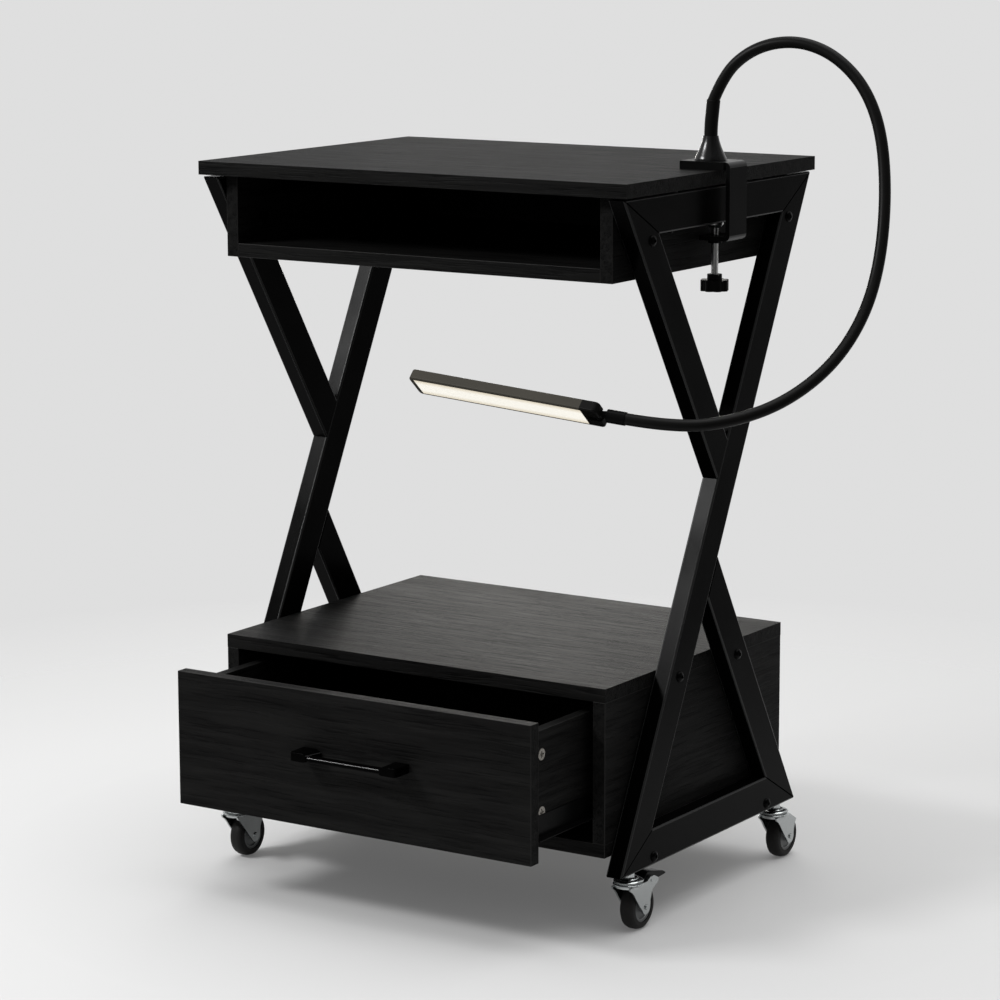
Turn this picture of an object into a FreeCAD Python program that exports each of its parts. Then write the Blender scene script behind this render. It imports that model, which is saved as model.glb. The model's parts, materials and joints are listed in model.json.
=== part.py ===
# Hobby workstation organizer on casters: a small tabletop over an open cubby, a wide open
# bay, a low cabinet with one drawer, two K-shaped tube frames, and a clamp-on gooseneck lamp.
#
# Frame: millimetres, +Z up, the front towards -Y, +X to the right of someone facing it.
# The origin is on the floor below the centre of the tabletop.
import FreeCAD, Part
import math
import os
import re
import Sketcher
from FreeCAD import Placement, Rotation, Vector

doc = FreeCAD.newDocument("organizer")

# ---------------------------------------------------------------------------
# Driving dimensions: (alias, value in mm or degrees, what it is)
# ---------------------------------------------------------------------------
SIZES = [
    # tabletop and boards
    ("top_width", 548, "tabletop, left to right"),
    ("top_depth", 408, "tabletop, front to back"),
    ("top_high", 800, "height of the work surface"),
    ("board", 15, "thickness of every laminated board"),
    ("back_board", 6, "thickness of the cubby and cabinet backs"),
    ("back_inset", 4, "how far the backs sit in from the rear edges"),
    # tube frames
    ("frame_inset", 4, "tabletop edge to the outer face of a frame"),
    ("frame_margin", 2, "tabletop front edge to the front of a frame"),
    ("tube_wide", 20, "frame tube, left to right"),
    ("tube_deep", 40, "frame tube, in the plane of the frame"),
    ("tube_wall", 1.5, "frame tube wall"),
    ("tube_round", 2, "rounding of the tube's outer edges"),
    ("top_gap", 2, "pads between the frames and the tabletop"),
    ("side_gap", 2, "washers between the frames and the boards"),
    ("frame_low", 67, "underside of the frames above the floor"),
    ("foot_length", 386, "bottom rail, front to back"),
    ("upper_lean", 32.2, "upper strut, degrees from upright"),
    ("lower_lean", 30.4, "lower strut, degrees from upright"),
    # open cubby under the tabletop
    ("cubby_front_inset", 16, "tabletop front edge to the cubby's front"),
    ("cubby_depth", 376, "cubby, front to back"),
    ("cubby_tall", 90, "cubby side, top to bottom"),
    # cabinet
    ("cabinet_shift", 2, "cabinet behind the front and the rear of the bottom rails"),
    ("cabinet_lift", 19, "cabinet floor above the underside of the frames"),
    ("cabinet_tall", 184, "cabinet, top to bottom"),
    ("bearer_leg", 18, "angle bearer leg under the cabinet floor"),
    ("bearer_wall", 2, "angle bearer thickness"),
    # drawer
    ("drawer_open", 115, "how far the drawer stands open at rest"),
    ("front_gap", 2, "drawer front to the boards above and below it"),
    ("front_side_gap", 4, "drawer front to the cabinet sides"),
    ("slide_gap", 12.5, "drawer box to cabinet side, filled by the runners"),
    ("box_board", 12, "drawer side and back thickness"),
    ("box_deep", 350, "drawer side, front to back"),
    ("box_low", 33, "drawer side above the cabinet floor board"),
    ("box_tall", 106, "drawer side, top to bottom"),
    ("box_floor", 6, "drawer floor thickness"),
    ("floor_rise", 5, "drawer floor above the lower edge of the sides"),
    ("cam_size", 12.6, "cam lock diameter"),
    ("cam_deep", 9, "cam lock depth"),
    ("cam_setback", 19.5, "cam lock centre behind the drawer front"),
    ("cam_low", 18, "lower cam above the lower edge of the side"),
    ("cam_pitch", 62, "between the two cams of one side"),
    ("fit_gap", 0.1, "radial gap of a press-in piece in its hole"),
    # drawer runners
    ("runner_wall", 1.2, "rolled steel of the runners"),
    ("roller_size", 20, "nylon roller diameter"),
    ("roller_wide", 7, "nylon roller width"),
    ("roller_pin", 5, "roller rivet diameter"),
    ("roll_gap", 0.3, "roller to track"),
    ("shut_gap", 1, "channel behind the front of the shut drawer"),
    ("track_low", 3, "channel above the cabinet floor board"),
    ("lip_wide", 5, "upper lip of the channel"),
    ("flange_play", 1.2, "drawer rail below the channel's lip"),
    # handle
    ("handle_long", 137, "bar pull, end to end"),
    ("handle_reach", 26, "bar pull, front of the drawer to front of the bar"),
    ("handle_high", 9.6, "post height"),
    ("handle_post", 24, "post width at the drawer front"),
    ("handle_taper", 3, "how much the post narrows towards the bar"),
    ("handle_nose", 7, "length over which a post narrows to the height of the bar"),
    ("handle_bar", 5.4, "bar height"),
    ("handle_deep", 11, "bar, front to back"),
    ("handle_rise", 8, "handle centre above the middle of the drawer front"),
    ("handle_shift", 9, "handle centre to the right of the middle"),
    # casters
    ("wheel_size", 50, "caster wheel diameter"),
    ("tread_wide", 17, "tyre width"),
    ("tyre_thick", 8, "tyre, tread to hub"),
    ("hub_wide", 14, "hub width"),
    ("axle_size", 6, "wheel axle diameter"),
    ("trail", 18, "swivel axis to axle"),
    ("fork_gap", 20, "between the legs of a fork"),
    ("fork_wall", 2, "fork steel thickness"),
    ("crown_size", 34, "caster raceway diameter"),
    ("crown_high", 8.5, "caster raceway height"),
    ("stem_size", 8, "caster stem thread diameter"),
    ("stem_nut", 13, "caster nut across flats"),
    ("stem_nut_high", 5.5, "caster nut height"),
    ("stem_rise", 14, "stem above the underside of the frame"),
    ("spin_gap", 0.08, "radial gap of a turning fit"),
    ("caster_inset", 31, "end of the bottom rail to the caster stem"),
    ("pedal_long", 66, "swivel axis to the tip of the brake pedal"),
    ("pedal_wide", 15, "brake pedal width"),
    ("pedal_pin", 3, "brake pedal rivet diameter"),
    ("pedal_pin_back", 11, "brake pedal rivet behind the axle"),
    ("pedal_pin_drop", 1, "brake pedal rivet below the raceway"),
    ("axle_boss", 16, "rounded end of a fork leg, diameter"),
    # bolts
    ("bolt_size", 6, "frame bolt thread diameter"),
    ("bolt_head", 12, "button head diameter"),
    ("bolt_head_high", 3.3, "button head height"),
    ("bolt_key", 4, "hex socket across flats"),
    ("bolt_drop", 6, "cubby bolts below the top rail"),
    ("bolt_shift", 5, "cubby bolts off the middle of their tubes, towards each other"),
    ("bolt_gap", 0.2, "radial gap of a bolt in its hole"),
    ("washer_size", 14, "washer and nut diameter"),
    ("nut_high", 5, "nut height"),
    ("pad_size", 16, "pad under the tabletop, diameter"),
    ("screw_size", 5, "tabletop screw diameter"),
    ("screw_bite", 12, "tabletop screw inside the tabletop"),
    ("screw_spread", 92, "tabletop screw from the middle of the frame"),
    # clamp of the lamp
    ("clamp_place", 4, "middle of the clamp behind the middle of the top"),
    ("clamp_wide", 37, "clamp strip, along the tabletop edge"),
    ("jaw_wide", 41, "upper jaw, along the tabletop edge"),
    ("jaw_gap", 2, "upper jaw block to the clamp strip"),
    ("clamp_wall", 5, "clamp strip thickness"),
    ("clamp_reach", 60.5, "upper jaw length"),
    ("clamp_bend", 6, "outer bend radius of the clamp strip"),
    ("clamp_clear", 9, "tabletop edge to the inside of the clamp strip"),
    ("jaw_thick", 9, "upper jaw thickness"),
    ("jaw_drop", 13, "lower arm below the frame's top rail"),
    ("clamp_travel", 6, "how far the clamp foot backs off"),
    ("foot_size", 18.6, "clamp foot diameter"),
    ("foot_high", 5.5, "clamp foot height"),
    ("thread_size", 8, "clamp screw diameter"),
    ("thread_long", 69, "clamp screw length"),
    ("knob_size", 31, "clamp knob across its lobes"),
    ("lobe_size", 9, "lobe of the clamp knob, diameter"),
    ("knob_high", 12, "clamp knob height without its collar"),
    ("collar_size", 16, "clamp knob collar diameter"),
    ("collar_high", 6, "clamp knob collar height"),
    # neck and head of the lamp
    ("bell_place", 34, "bell axis inside the outer face of the strip"),
    ("bell_size", 34, "bell foot diameter at the jaw"),
    ("bell_neck", 16.4, "bell diameter at its top"),
    ("bell_high", 26, "bell height"),
    ("neck_size", 12.5, "gooseneck diameter"),
    ("neck_reach", 225, "how far the gooseneck swings out to the right of the bell"),
    ("neck_front", 254, "head hinge in front of the bell"),
    ("neck_hang", 265, "head hinge below the top of the bell"),
    ("head_offset", 16, "head hinge to the right of the bell"),
    ("sleeve_size", 14.5, "sleeve diameter at the foot of the neck"),
    ("sleeve_high", 38, "sleeve above the bell"),
    ("sleeve_plug", 12, "sleeve inside the bell"),
    ("sleeve_lean", 4.5, "sleeve to the right from upright, degrees"),
    ("sleeve_rise", 10, "where the sleeve bends over, above the bell"),
    ("neck_plug", 4, "gooseneck inside the mouth of the sleeve"),
    ("tip_size", 14.2, "ferrule diameter at the head"),
    ("tip_long", 20, "ferrule length"),
    ("head_long", 230, "lamp head length"),
    ("head_wide", 33, "lamp head width"),
    ("head_thick", 12, "lamp head thickness"),
    ("head_corner", 5, "corner radius of the head seen from above"),
    ("head_round", 2, "edge rounding of the head"),
    ("head_cap", 19, "plastic end cap of the head"),
    ("glow_long", 205, "diffuser length"),
    ("glow_wide", 27, "diffuser width"),
    ("glow_thick", 2.5, "diffuser thickness"),
    ("knuckle_size", 9, "hinge barrel diameter"),
    ("knuckle_pin", 3, "hinge pin diameter"),
    ("tongue_wide", 7, "neck tongue between the lugs of the head"),
    ("tongue_long", 9, "ferrule to the hinge pin"),
    ("tongue_gap", 0.3, "side gap of the tongue"),
    ("head_lean", 51, "width of the head from upright, degrees"),
    ("head_pitch", 4.2, "head rising towards its free end, degrees"),
]
# Places that follow from the sizes above; each is a formula in the same sheet.
PLACES = [
    ("frame_out", "top_width / 2 - frame_inset"),
    ("frame_in", "frame_out - tube_wide"),
    ("frame_mid", "frame_out - tube_wide / 2"),
    ("frame_high", "top_high - board - top_gap"),
    ("front_line", "frame_margin - top_depth / 2"),
    ("rear_line", "top_depth / 2 - frame_margin"),
    ("foot_rear", "front_line + foot_length"),
    ("body_half", "frame_in - side_gap"),
    # lean of the diagonal tube that runs from the front foot to the rear of the top rail
    ("rail_span", "rear_line - front_line"),
    ("frame_rise", "frame_high - frame_low"),
    ("span_hyp", "sqrt(rail_span * rail_span + frame_rise * frame_rise)"),
    ("diagonal_lean", "acos(tube_deep / span_hyp) - atan(frame_rise / rail_span)"),
    ("tan_diag", "tan(diagonal_lean)"),
    ("tan_up", "tan(upper_lean)"),
    ("tan_low", "tan(lower_lean)"),
    ("cut_diag", "tube_deep / cos(diagonal_lean)"),
    ("cut_up", "tube_deep / cos(upper_lean)"),
    ("cut_low", "tube_deep / cos(lower_lean)"),
    # where the upper strut meets the front edge of the diagonal
    ("kink_front_z", "(tan_up * frame_high + tan_diag * frame_low) / (tan_up + tan_diag)"),
    ("kink_front_y", "front_line + tan_diag * (kink_front_z - frame_low)"),
    ("vee_z", "kink_front_z + cut_up / (tan_up + tan_diag)"),
    ("vee_y", "front_line + tan_diag * (vee_z - frame_low)"),
    # where the lower strut meets the rear edge of the diagonal
    ("kink_rear_z", "(foot_rear - rear_line + tan_diag * frame_high + tan_low * frame_low)"
                    " / (tan_diag + tan_low)"),
    ("kink_rear_y", "foot_rear - tan_low * (kink_rear_z - frame_low)"),
    ("apex_z", "kink_rear_z - cut_low / (tan_diag + tan_low)"),
    ("apex_y", "rear_line - tan_diag * (frame_high - apex_z)"),
    # inner ends of the mitres
    ("rail_top_z", "frame_high - tube_deep"),
    ("rail_low_z", "frame_low + tube_deep"),
    ("mitre_top_front", "front_line + cut_up + tan_up * tube_deep"),
    ("mitre_top_rear", "front_line + tan_diag * (rail_top_z - frame_low)"),
    ("mitre_low_front", "rear_line - tan_diag * (frame_high - rail_low_z)"),
    ("mitre_low_rear", "foot_rear - cut_low - tan_low * tube_deep"),
    # boards
    ("cubby_front", "cubby_front_inset - top_depth / 2"),
    ("cubby_rear", "cubby_front + cubby_depth"),
    ("cubby_low", "top_high - board - cubby_tall"),
    ("cabinet_front", "front_line + cabinet_shift"),
    ("cabinet_rear", "foot_rear + cabinet_shift"),
    ("cabinet_depth", "cabinet_rear - cabinet_front"),
    ("cabinet_low", "frame_low + cabinet_lift"),
    ("cabinet_high", "cabinet_low + cabinet_tall"),
    ("cabinet_floor_z", "cabinet_low + board"),
    ("cabinet_half", "body_half - board"),
    # drawer
    ("drawer_half", "cabinet_half - slide_gap"),
    ("front_half", "cabinet_half - front_side_gap"),
    ("front_y", "cabinet_front - drawer_open"),
    ("box_y", "front_y + board"),
    ("front_low", "cabinet_floor_z + front_gap"),
    ("front_tall", "cabinet_tall - 2 * board - 2 * front_gap"),
    ("box_z", "cabinet_floor_z + box_low"),
    ("track_z", "cabinet_floor_z + track_low + runner_wall"),
    ("roller_z", "track_z + roll_gap + roller_size / 2"),
    ("flange_z", "roller_z + roller_size / 2 + roll_gap"),
    ("mouth_roller_x", "cabinet_half - runner_wall - roll_gap - roller_wide"),
    ("tail_roller_x", "drawer_half + runner_wall + roll_gap"),
    ("handle_z", "front_low + front_tall / 2 + handle_rise"),
    # casters
    ("axle_z", "wheel_size / 2"),
    ("crown_z", "frame_low - stem_nut_high - crown_high"),
    ("caster_front", "front_line + caster_inset"),
    ("caster_rear", "foot_rear - caster_inset"),
    # lamp
    ("clamp_in", "top_width / 2 + clamp_clear"),
    ("clamp_out", "clamp_in + clamp_wall"),
    ("arm_z", "rail_top_z - jaw_drop"),
    ("jaw_z", "top_high + jaw_thick"),
    ("bell_x", "clamp_out - bell_place"),
    ("bell_z", "jaw_z + bell_high"),
    ("foot_z", "rail_top_z - foot_high"),
]

sheet = doc.addObject("Spreadsheet::Sheet", "sizes")
for row, (alias, value, note) in enumerate(SIZES, start=1):
    sheet.set("A%d" % row, alias)
    sheet.set("B%d" % row, str(value))
    sheet.set("C%d" % row, note)
    sheet.setAlias("B%d" % row, alias)
for row, (alias, formula) in enumerate(PLACES, start=len(SIZES) + 2):
    sheet.set("A%d" % row, alias)
    sheet.set("B%d" % row, "=" + formula)
    sheet.setAlias("B%d" % row, alias)
doc.recompute()

ALIASES = {entry[0] for entry in SIZES + PLACES}


def size(alias):
    """The present value of one size or place."""
    value = sheet.get(alias)
    return float(getattr(value, "Value", value))


def bind(text):
    """The same expression with every alias pointed at the sheet."""
    return re.sub(r"[a-z_]+", lambda m: "sizes." + m.group() if m.group() in ALIASES
                  else m.group(), str(text))


# ---------------------------------------------------------------------------
# Small helpers: every number given to them is an expression over the sheet
# ---------------------------------------------------------------------------
AXES = {"X": Rotation(Vector(0, 1, 0), 90), "Y": Rotation(Vector(1, 0, 0), -90), "Z": Rotation()}
PLANES = {
    "YZ": Rotation(Vector(0, 1, 0), Vector(0, 0, 1), Vector(1, 0, 0), "ZXY"),
    "XZ": Rotation(Vector(1, 0, 0), Vector(0, 0, 1), Vector(0, -1, 0), "ZXY"),
    "XY": Rotation(),
}


def place(obj, x, y, z, rotation=None):
    """Tie an object's placement to expressions."""
    obj.Placement = Placement(Vector(0, 0, 0), rotation or Rotation())
    for axis, text in zip("xyz", (x, y, z)):
        obj.setExpression("Placement.Base." + axis, bind(text))
    return obj


def box(name, x, y, z, dx, dy, dz):
    """Box with its lowest corner at x, y, z."""
    obj = doc.addObject("Part::Box", name)
    for prop, text in (("Length", dx), ("Width", dy), ("Height", dz)):
        obj.setExpression(prop, bind(text))
    return place(obj, x, y, z)


def rod(name, axis, x, y, z, diameter, length):
    """Cylinder that starts at x, y, z and runs along +axis."""
    obj = doc.addObject("Part::Cylinder", name)
    obj.setExpression("Radius", bind("(%s) / 2" % diameter))
    obj.setExpression("Height", bind(length))
    return place(obj, x, y, z, AXES[axis])


def cone(name, axis, x, y, z, start, end, length):
    """Cone from diameter start to diameter end along +axis."""
    obj = doc.addObject("Part::Cone", name)
    obj.setExpression("Radius1", bind("(%s) / 2" % start))
    obj.setExpression("Radius2", bind("(%s) / 2" % end))
    obj.setExpression("Height", bind(length))
    return place(obj, x, y, z, AXES[axis])


def hexagon(name, axis, x, y, z, flats, length):
    """Hexagonal prism, size across flats, along +axis."""
    obj = doc.addObject("Part::Prism", name)
    obj.Polygon = 6
    obj.setExpression("Circumradius", bind("(%s) / 1.7320508" % flats))
    obj.setExpression("Height", bind(length))
    return place(obj, x, y, z, AXES[axis])


def outline(sketch, points):
    """Closed loop of straight edges whose corners are tied to expressions."""
    count = len(points)
    rough = [Vector(math.cos(6.28 * k / count), math.sin(6.28 * k / count), 0) * 50
             for k in range(count)]
    for k in range(count):
        sketch.addGeometry(Part.LineSegment(rough[k], rough[(k + 1) % count]), False)
    for k in range(count):
        sketch.addConstraint(Sketcher.Constraint("Coincident", k, 2, (k + 1) % count, 1))
    for k, (across, up) in enumerate(points):
        for kind, text in (("DistanceX", across), ("DistanceY", up)):
            at = sketch.addConstraint(Sketcher.Constraint(kind, -1, 1, k, 1, 1.0 + k))
            sketch.setExpression("Constraints[%d]" % at, bind(text))


def prism(name, plane, points, start, length):
    """Straight-edged outline in a world plane, extruded along that plane's axis."""
    sketch = doc.addObject("Sketcher::SketchObject", name + "_outline")
    sketch.Placement = Placement(Vector(0, 0, 0), PLANES[plane])
    outline(sketch, points)
    direction = {"YZ": Vector(1, 0, 0), "XZ": Vector(0, 1, 0), "XY": Vector(0, 0, 1)}[plane]
    sketch.setExpression("Placement.Base." + "xyz"[[abs(c) for c in direction].index(1)],
                         bind(start))
    obj = doc.addObject("Part::Extrusion", name)
    obj.Base = sketch
    obj.DirMode = "Custom"
    obj.Dir = direction
    obj.setExpression("LengthFwd", bind(length))
    obj.Solid = True
    return obj


def turned(name, profile, x, y, z, rotation=None):
    """Body revolved about its own Z axis from (radius, height) corners."""
    body = doc.addObject("PartDesign::Body", name)
    sketch = body.newObject("Sketcher::SketchObject", name + "_profile")
    plane = [f for f in body.Origin.OriginFeatures if f.Role == "XZ_Plane"][0]
    sketch.AttachmentSupport = (plane, [""])
    sketch.MapMode = "FlatFace"
    outline(sketch, profile)
    doc.recompute()
    spin = body.newObject("PartDesign::Revolution", name + "_turn")
    spin.Profile = sketch
    spin.ReferenceAxis = (sketch, ["V_Axis"])
    spin.Angle = 360
    body.Tip = spin
    return place(body, x, y, z, rotation)


def cut(name, base, tools):
    """Base with every tool taken away."""
    tool = tools[0]
    if len(tools) > 1:
        tool = doc.addObject("Part::MultiFuse", name + "_tools")
        tool.Shapes = tools
    obj = doc.addObject("Part::Cut", name)
    obj.Base = base
    obj.Tool = tool
    return obj


def fuse(name, shapes):
    """One solid from touching shapes."""
    obj = doc.addObject("Part::MultiFuse", name)
    obj.Shapes = shapes
    obj.Refine = True
    return obj


def common(name, shapes):
    """What all the shapes share."""
    obj = doc.addObject("Part::MultiCommon", name)
    obj.Shapes = shapes
    return obj


def rounded(name, base, radius, pick):
    """Base with a fillet on every edge that pick accepts."""
    doc.recompute()
    obj = doc.addObject("Part::Fillet", name)
    obj.Base = base
    r = size(radius)
    obj.Edges = [(k, r, r) for k, edge in enumerate(base.Shape.Edges, start=1) if pick(edge)]
    return obj


def runs_along(edge, direction):
    """True for a straight edge parallel to a direction."""
    start, end = edge.Vertexes[0].Point, edge.Vertexes[-1].Point
    across = (end - start).cross(direction).Length
    return isinstance(edge.Curve, Part.Line) and across < 0.01 * edge.Length


def group(name, shapes):
    """Several like pieces kept as separate solids of one node."""
    obj = doc.addObject("Part::Compound", name)
    obj.Links = shapes
    return obj


NODES = []


def node(obj):
    """Mark an object as a piece that is written out under its label."""
    NODES.append(obj)
    return obj


SIDES = (("right", 1), ("left", -1))


def from_middle(side, near, wide):
    """X where a piece starts that covers near .. near + wide from the middle, on one side."""
    return near if side > 0 else "-(%s) - (%s)" % (near, wide)


# ---------------------------------------------------------------------------
# Bolts: (name, y, z) where each bolt crosses a frame
# ---------------------------------------------------------------------------
BOLTS = [
    ("cubby_front", "front_line + tan_up * (tube_deep + bolt_drop) + cut_up / 2 + bolt_shift",
     "rail_top_z - bolt_drop"),
    ("cubby_rear", "rear_line - tan_diag * (tube_deep + bolt_drop) - cut_diag / 2 - bolt_shift",
     "rail_top_z - bolt_drop"),
    ("cabinet_front", "kink_front_y - tan_diag * (kink_front_z - cabinet_high + board / 2)"
                      " + cut_diag / 2", "cabinet_high - board / 2"),
    ("cabinet_rear", "kink_rear_y + tan_low * (kink_rear_z - cabinet_high + board / 2)"
                     " - cut_low / 2", "cabinet_high - board / 2"),
    ("bearer_front", "mitre_low_front + 3", "frame_low + 9"),
    ("bearer_rear", "mitre_low_rear + 3", "frame_low + 9"),
]


def bolt_holes(name, side, keys, near, wide):
    """Clearance holes for the named bolts through near .. near + wide."""
    return [rod("%s_hole_%s" % (name, key), "X", from_middle(side, near, wide), y, z,
                "bolt_size + 2 * bolt_gap", wide)
            for key, y, z in BOLTS if key in keys]


# ---------------------------------------------------------------------------
# Tabletop: one board with pilot holes for the four frame screws
# ---------------------------------------------------------------------------
TOP_SCREWS = [(side, end) for side in (1, -1) for end in (1, -1)]
top_blank = box("top_blank", "-top_width / 2", "-top_depth / 2", "top_high - board",
                "top_width", "top_depth", "board")
top_holes = [rod("top_hole_%d" % k, "Z", "%d * frame_mid" % s, "%d * screw_spread" % e,
                 "top_high - board", "screw_size", "screw_bite")
             for k, (s, e) in enumerate(TOP_SCREWS)]
tabletop = node(cut("tabletop", top_blank, top_holes))

# ---------------------------------------------------------------------------
# Frames: five mitred rectangular tubes a side, welded into a K
# ---------------------------------------------------------------------------
INNER = "frame_in + tube_wall"
HOLLOW = "tube_wide - 2 * tube_wall"


def leaning_hollow(lean, cut_width, foot_y, foot_z, sign):
    """Inside of a leaning tube: front edge through foot_y, foot_z, longer than the tube."""
    wall = "tube_wall / cos(%s)" % lean
    low = "(frame_low - tube_deep - %s) * %d * tan(%s)" % (foot_z, sign, lean)
    high = "(frame_high + tube_deep - %s) * %d * tan(%s)" % (foot_z, sign, lean)
    return [
        ("%s + %s + %s" % (foot_y, wall, low), "frame_low - tube_deep"),
        ("%s + %s - %s + %s" % (foot_y, cut_width, wall, low), "frame_low - tube_deep"),
        ("%s + %s - %s + %s" % (foot_y, cut_width, wall, high), "frame_high + tube_deep"),
        ("%s + %s + %s" % (foot_y, wall, high), "frame_high + tube_deep"),
    ]


TUBES = {
    "top_rail": (
        [("front_line", "frame_high"), ("mitre_top_front", "rail_top_z"),
         ("mitre_top_rear", "rail_top_z"), ("rear_line", "frame_high")],
        [("front_line", "frame_high - tube_wall"), ("front_line", "rail_top_z + tube_wall"),
         ("rear_line", "rail_top_z + tube_wall"), ("rear_line", "frame_high - tube_wall")]),
    "bottom_rail": (
        [("front_line", "frame_low"), ("foot_rear", "frame_low"),
         ("mitre_low_rear", "rail_low_z"), ("mitre_low_front", "rail_low_z")],
        [("front_line", "frame_low + tube_wall"), ("foot_rear", "frame_low + tube_wall"),
         ("foot_rear", "rail_low_z - tube_wall"), ("front_line", "rail_low_z - tube_wall")]),
    "diagonal": (
        [("front_line", "frame_low"), ("mitre_low_front", "rail_low_z"),
         ("rear_line", "frame_high"), ("mitre_top_rear", "rail_top_z")],
        leaning_hollow("diagonal_lean", "cut_diag", "front_line", "frame_low", 1)),
    "upper_strut": (
        [("front_line", "frame_high"), ("kink_front_y", "kink_front_z"),
         ("vee_y", "vee_z"), ("mitre_top_front", "rail_top_z")],
        leaning_hollow("upper_lean", "cut_up", "front_line", "frame_high", -1)),
    "lower_strut": (
        [("apex_y", "apex_z"), ("mitre_low_rear", "rail_low_z"),
         ("foot_rear", "frame_low"), ("kink_rear_y", "kink_rear_z")],
        leaning_hollow("lower_lean", "cut_low", "foot_rear - cut_low", "frame_low", -1)),
}
TUBE_BOLTS = {
    "top_rail": (), "bottom_rail": ("bearer_front", "bearer_rear"),
    "diagonal": ("cubby_rear", "cabinet_front"), "upper_strut": ("cubby_front",),
    "lower_strut": ("cabinet_rear",),
}
blanks = {}
for hand, side in SIDES:
    for piece, (corners, inside) in TUBES.items():
        label = "%s_%s" % (hand, piece)
        blanks[label] = prism(label + "_blank", "YZ", corners,
                              from_middle(side, "frame_in", "tube_wide"), "tube_wide")
doc.recompute()
for hand, side in SIDES:
    for piece, (corners, inside) in TUBES.items():
        label = "%s_%s" % (hand, piece)
        # the long outer edges are rolled; the mitred ends stay sharp
        blank = rounded(label + "_rolled", blanks[label], "tube_round",
                        lambda edge: edge.Length > 3 * size("tube_deep"))
        hollow = prism(label + "_inside", "YZ", inside, from_middle(side, INNER, HOLLOW), HOLLOW)
        tools = [hollow] + bolt_holes(label, side, TUBE_BOLTS[piece], "frame_in", "tube_wide")
        if piece == "top_rail":
            for end in (1, -1):
                tools.append(rod("%s_screw_hole_%d" % (label, end + 1), "Z",
                                 "%d * frame_mid" % side, "%d * screw_spread" % end, "rail_top_z",
                                 "screw_size + 2 * bolt_gap", "tube_deep"))
        if piece == "bottom_rail":
            for end in ("caster_front", "caster_rear"):
                tools.append(rod("%s_stem_%s" % (label, end), "Z", "%d * frame_mid" % side, end,
                                 "frame_low", "stem_size + 2 * bolt_gap", "tube_wall"))
        node(cut(label, blank, tools))

# ---------------------------------------------------------------------------
# Cubby: two sides hung from the frames, a floor between them and a thin back
# ---------------------------------------------------------------------------
for hand, side in SIDES:
    blank = box("cubby_%s_blank" % hand, from_middle(side, "body_half - board", "board"),
                "cubby_front", "cubby_low", "board", "cubby_depth", "cubby_tall")
    holes = bolt_holes("cubby_%s" % hand, side, ("cubby_front", "cubby_rear"),
                       "body_half - board", "board")
    node(cut("cubby_%s_side" % hand, blank, holes))
node(box("cubby_floor", "board - body_half", "cubby_front", "cubby_low",
         "2 * (body_half - board)", "cubby_depth", "board"))
node(box("cubby_back", "board - body_half", "cubby_rear - back_inset - back_board",
         "cubby_low + board", "2 * (body_half - board)", "back_board", "cubby_tall - board"))

# ---------------------------------------------------------------------------
# Cabinet: top and floor over and under the two sides, thin back, angle bearers
# ---------------------------------------------------------------------------
edge_holes = []
for hand, side in SIDES:
    edge_holes += bolt_holes("cabinet_top_%s" % hand, side, ("cabinet_front", "cabinet_rear"),
                             "body_half - 3 * board", "3 * board")
    node(box("cabinet_%s_side" % hand, from_middle(side, "cabinet_half", "board"),
             "cabinet_front", "cabinet_floor_z", "board", "cabinet_depth",
             "cabinet_tall - 2 * board"))
cabinet_blank = box("cabinet_top_blank", "-body_half", "cabinet_front", "cabinet_high - board",
                    "2 * body_half", "cabinet_depth", "board")
node(cut("cabinet_top", cabinet_blank, edge_holes))
node(box("cabinet_floor", "-body_half", "cabinet_front", "cabinet_low", "2 * body_half",
         "cabinet_depth", "board"))
node(box("cabinet_back", "-cabinet_half", "cabinet_rear - back_inset - back_board",
         "cabinet_floor_z", "2 * cabinet_half", "back_board", "cabinet_tall - 2 * board"))

bearers = []
for hand, side in SIDES:
    leg = box("bearer_leg_%s" % hand, from_middle(side, "body_half - bearer_wall", "bearer_wall"),
              "mitre_low_front - 20", "cabinet_low - bearer_leg", "bearer_wall",
              "mitre_low_rear - mitre_low_front + 40", "bearer_leg")
    shelf = box("bearer_shelf_%s" % hand,
                from_middle(side, "body_half - bearer_leg", "bearer_leg"),
                "mitre_low_front - 20", "cabinet_low - bearer_wall", "bearer_leg",
                "mitre_low_rear - mitre_low_front + 40", "bearer_wall")
    angle = fuse("bearer_angle_%s" % hand, [leg, shelf])
    bearers.append(cut("bearer_%s" % hand, angle,
                       bolt_holes("bearer_%s" % hand, side, ("bearer_front", "bearer_rear"),
                                  "body_half - bearer_wall", "bearer_wall")))
node(group("cabinet_bearers", bearers))

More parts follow.
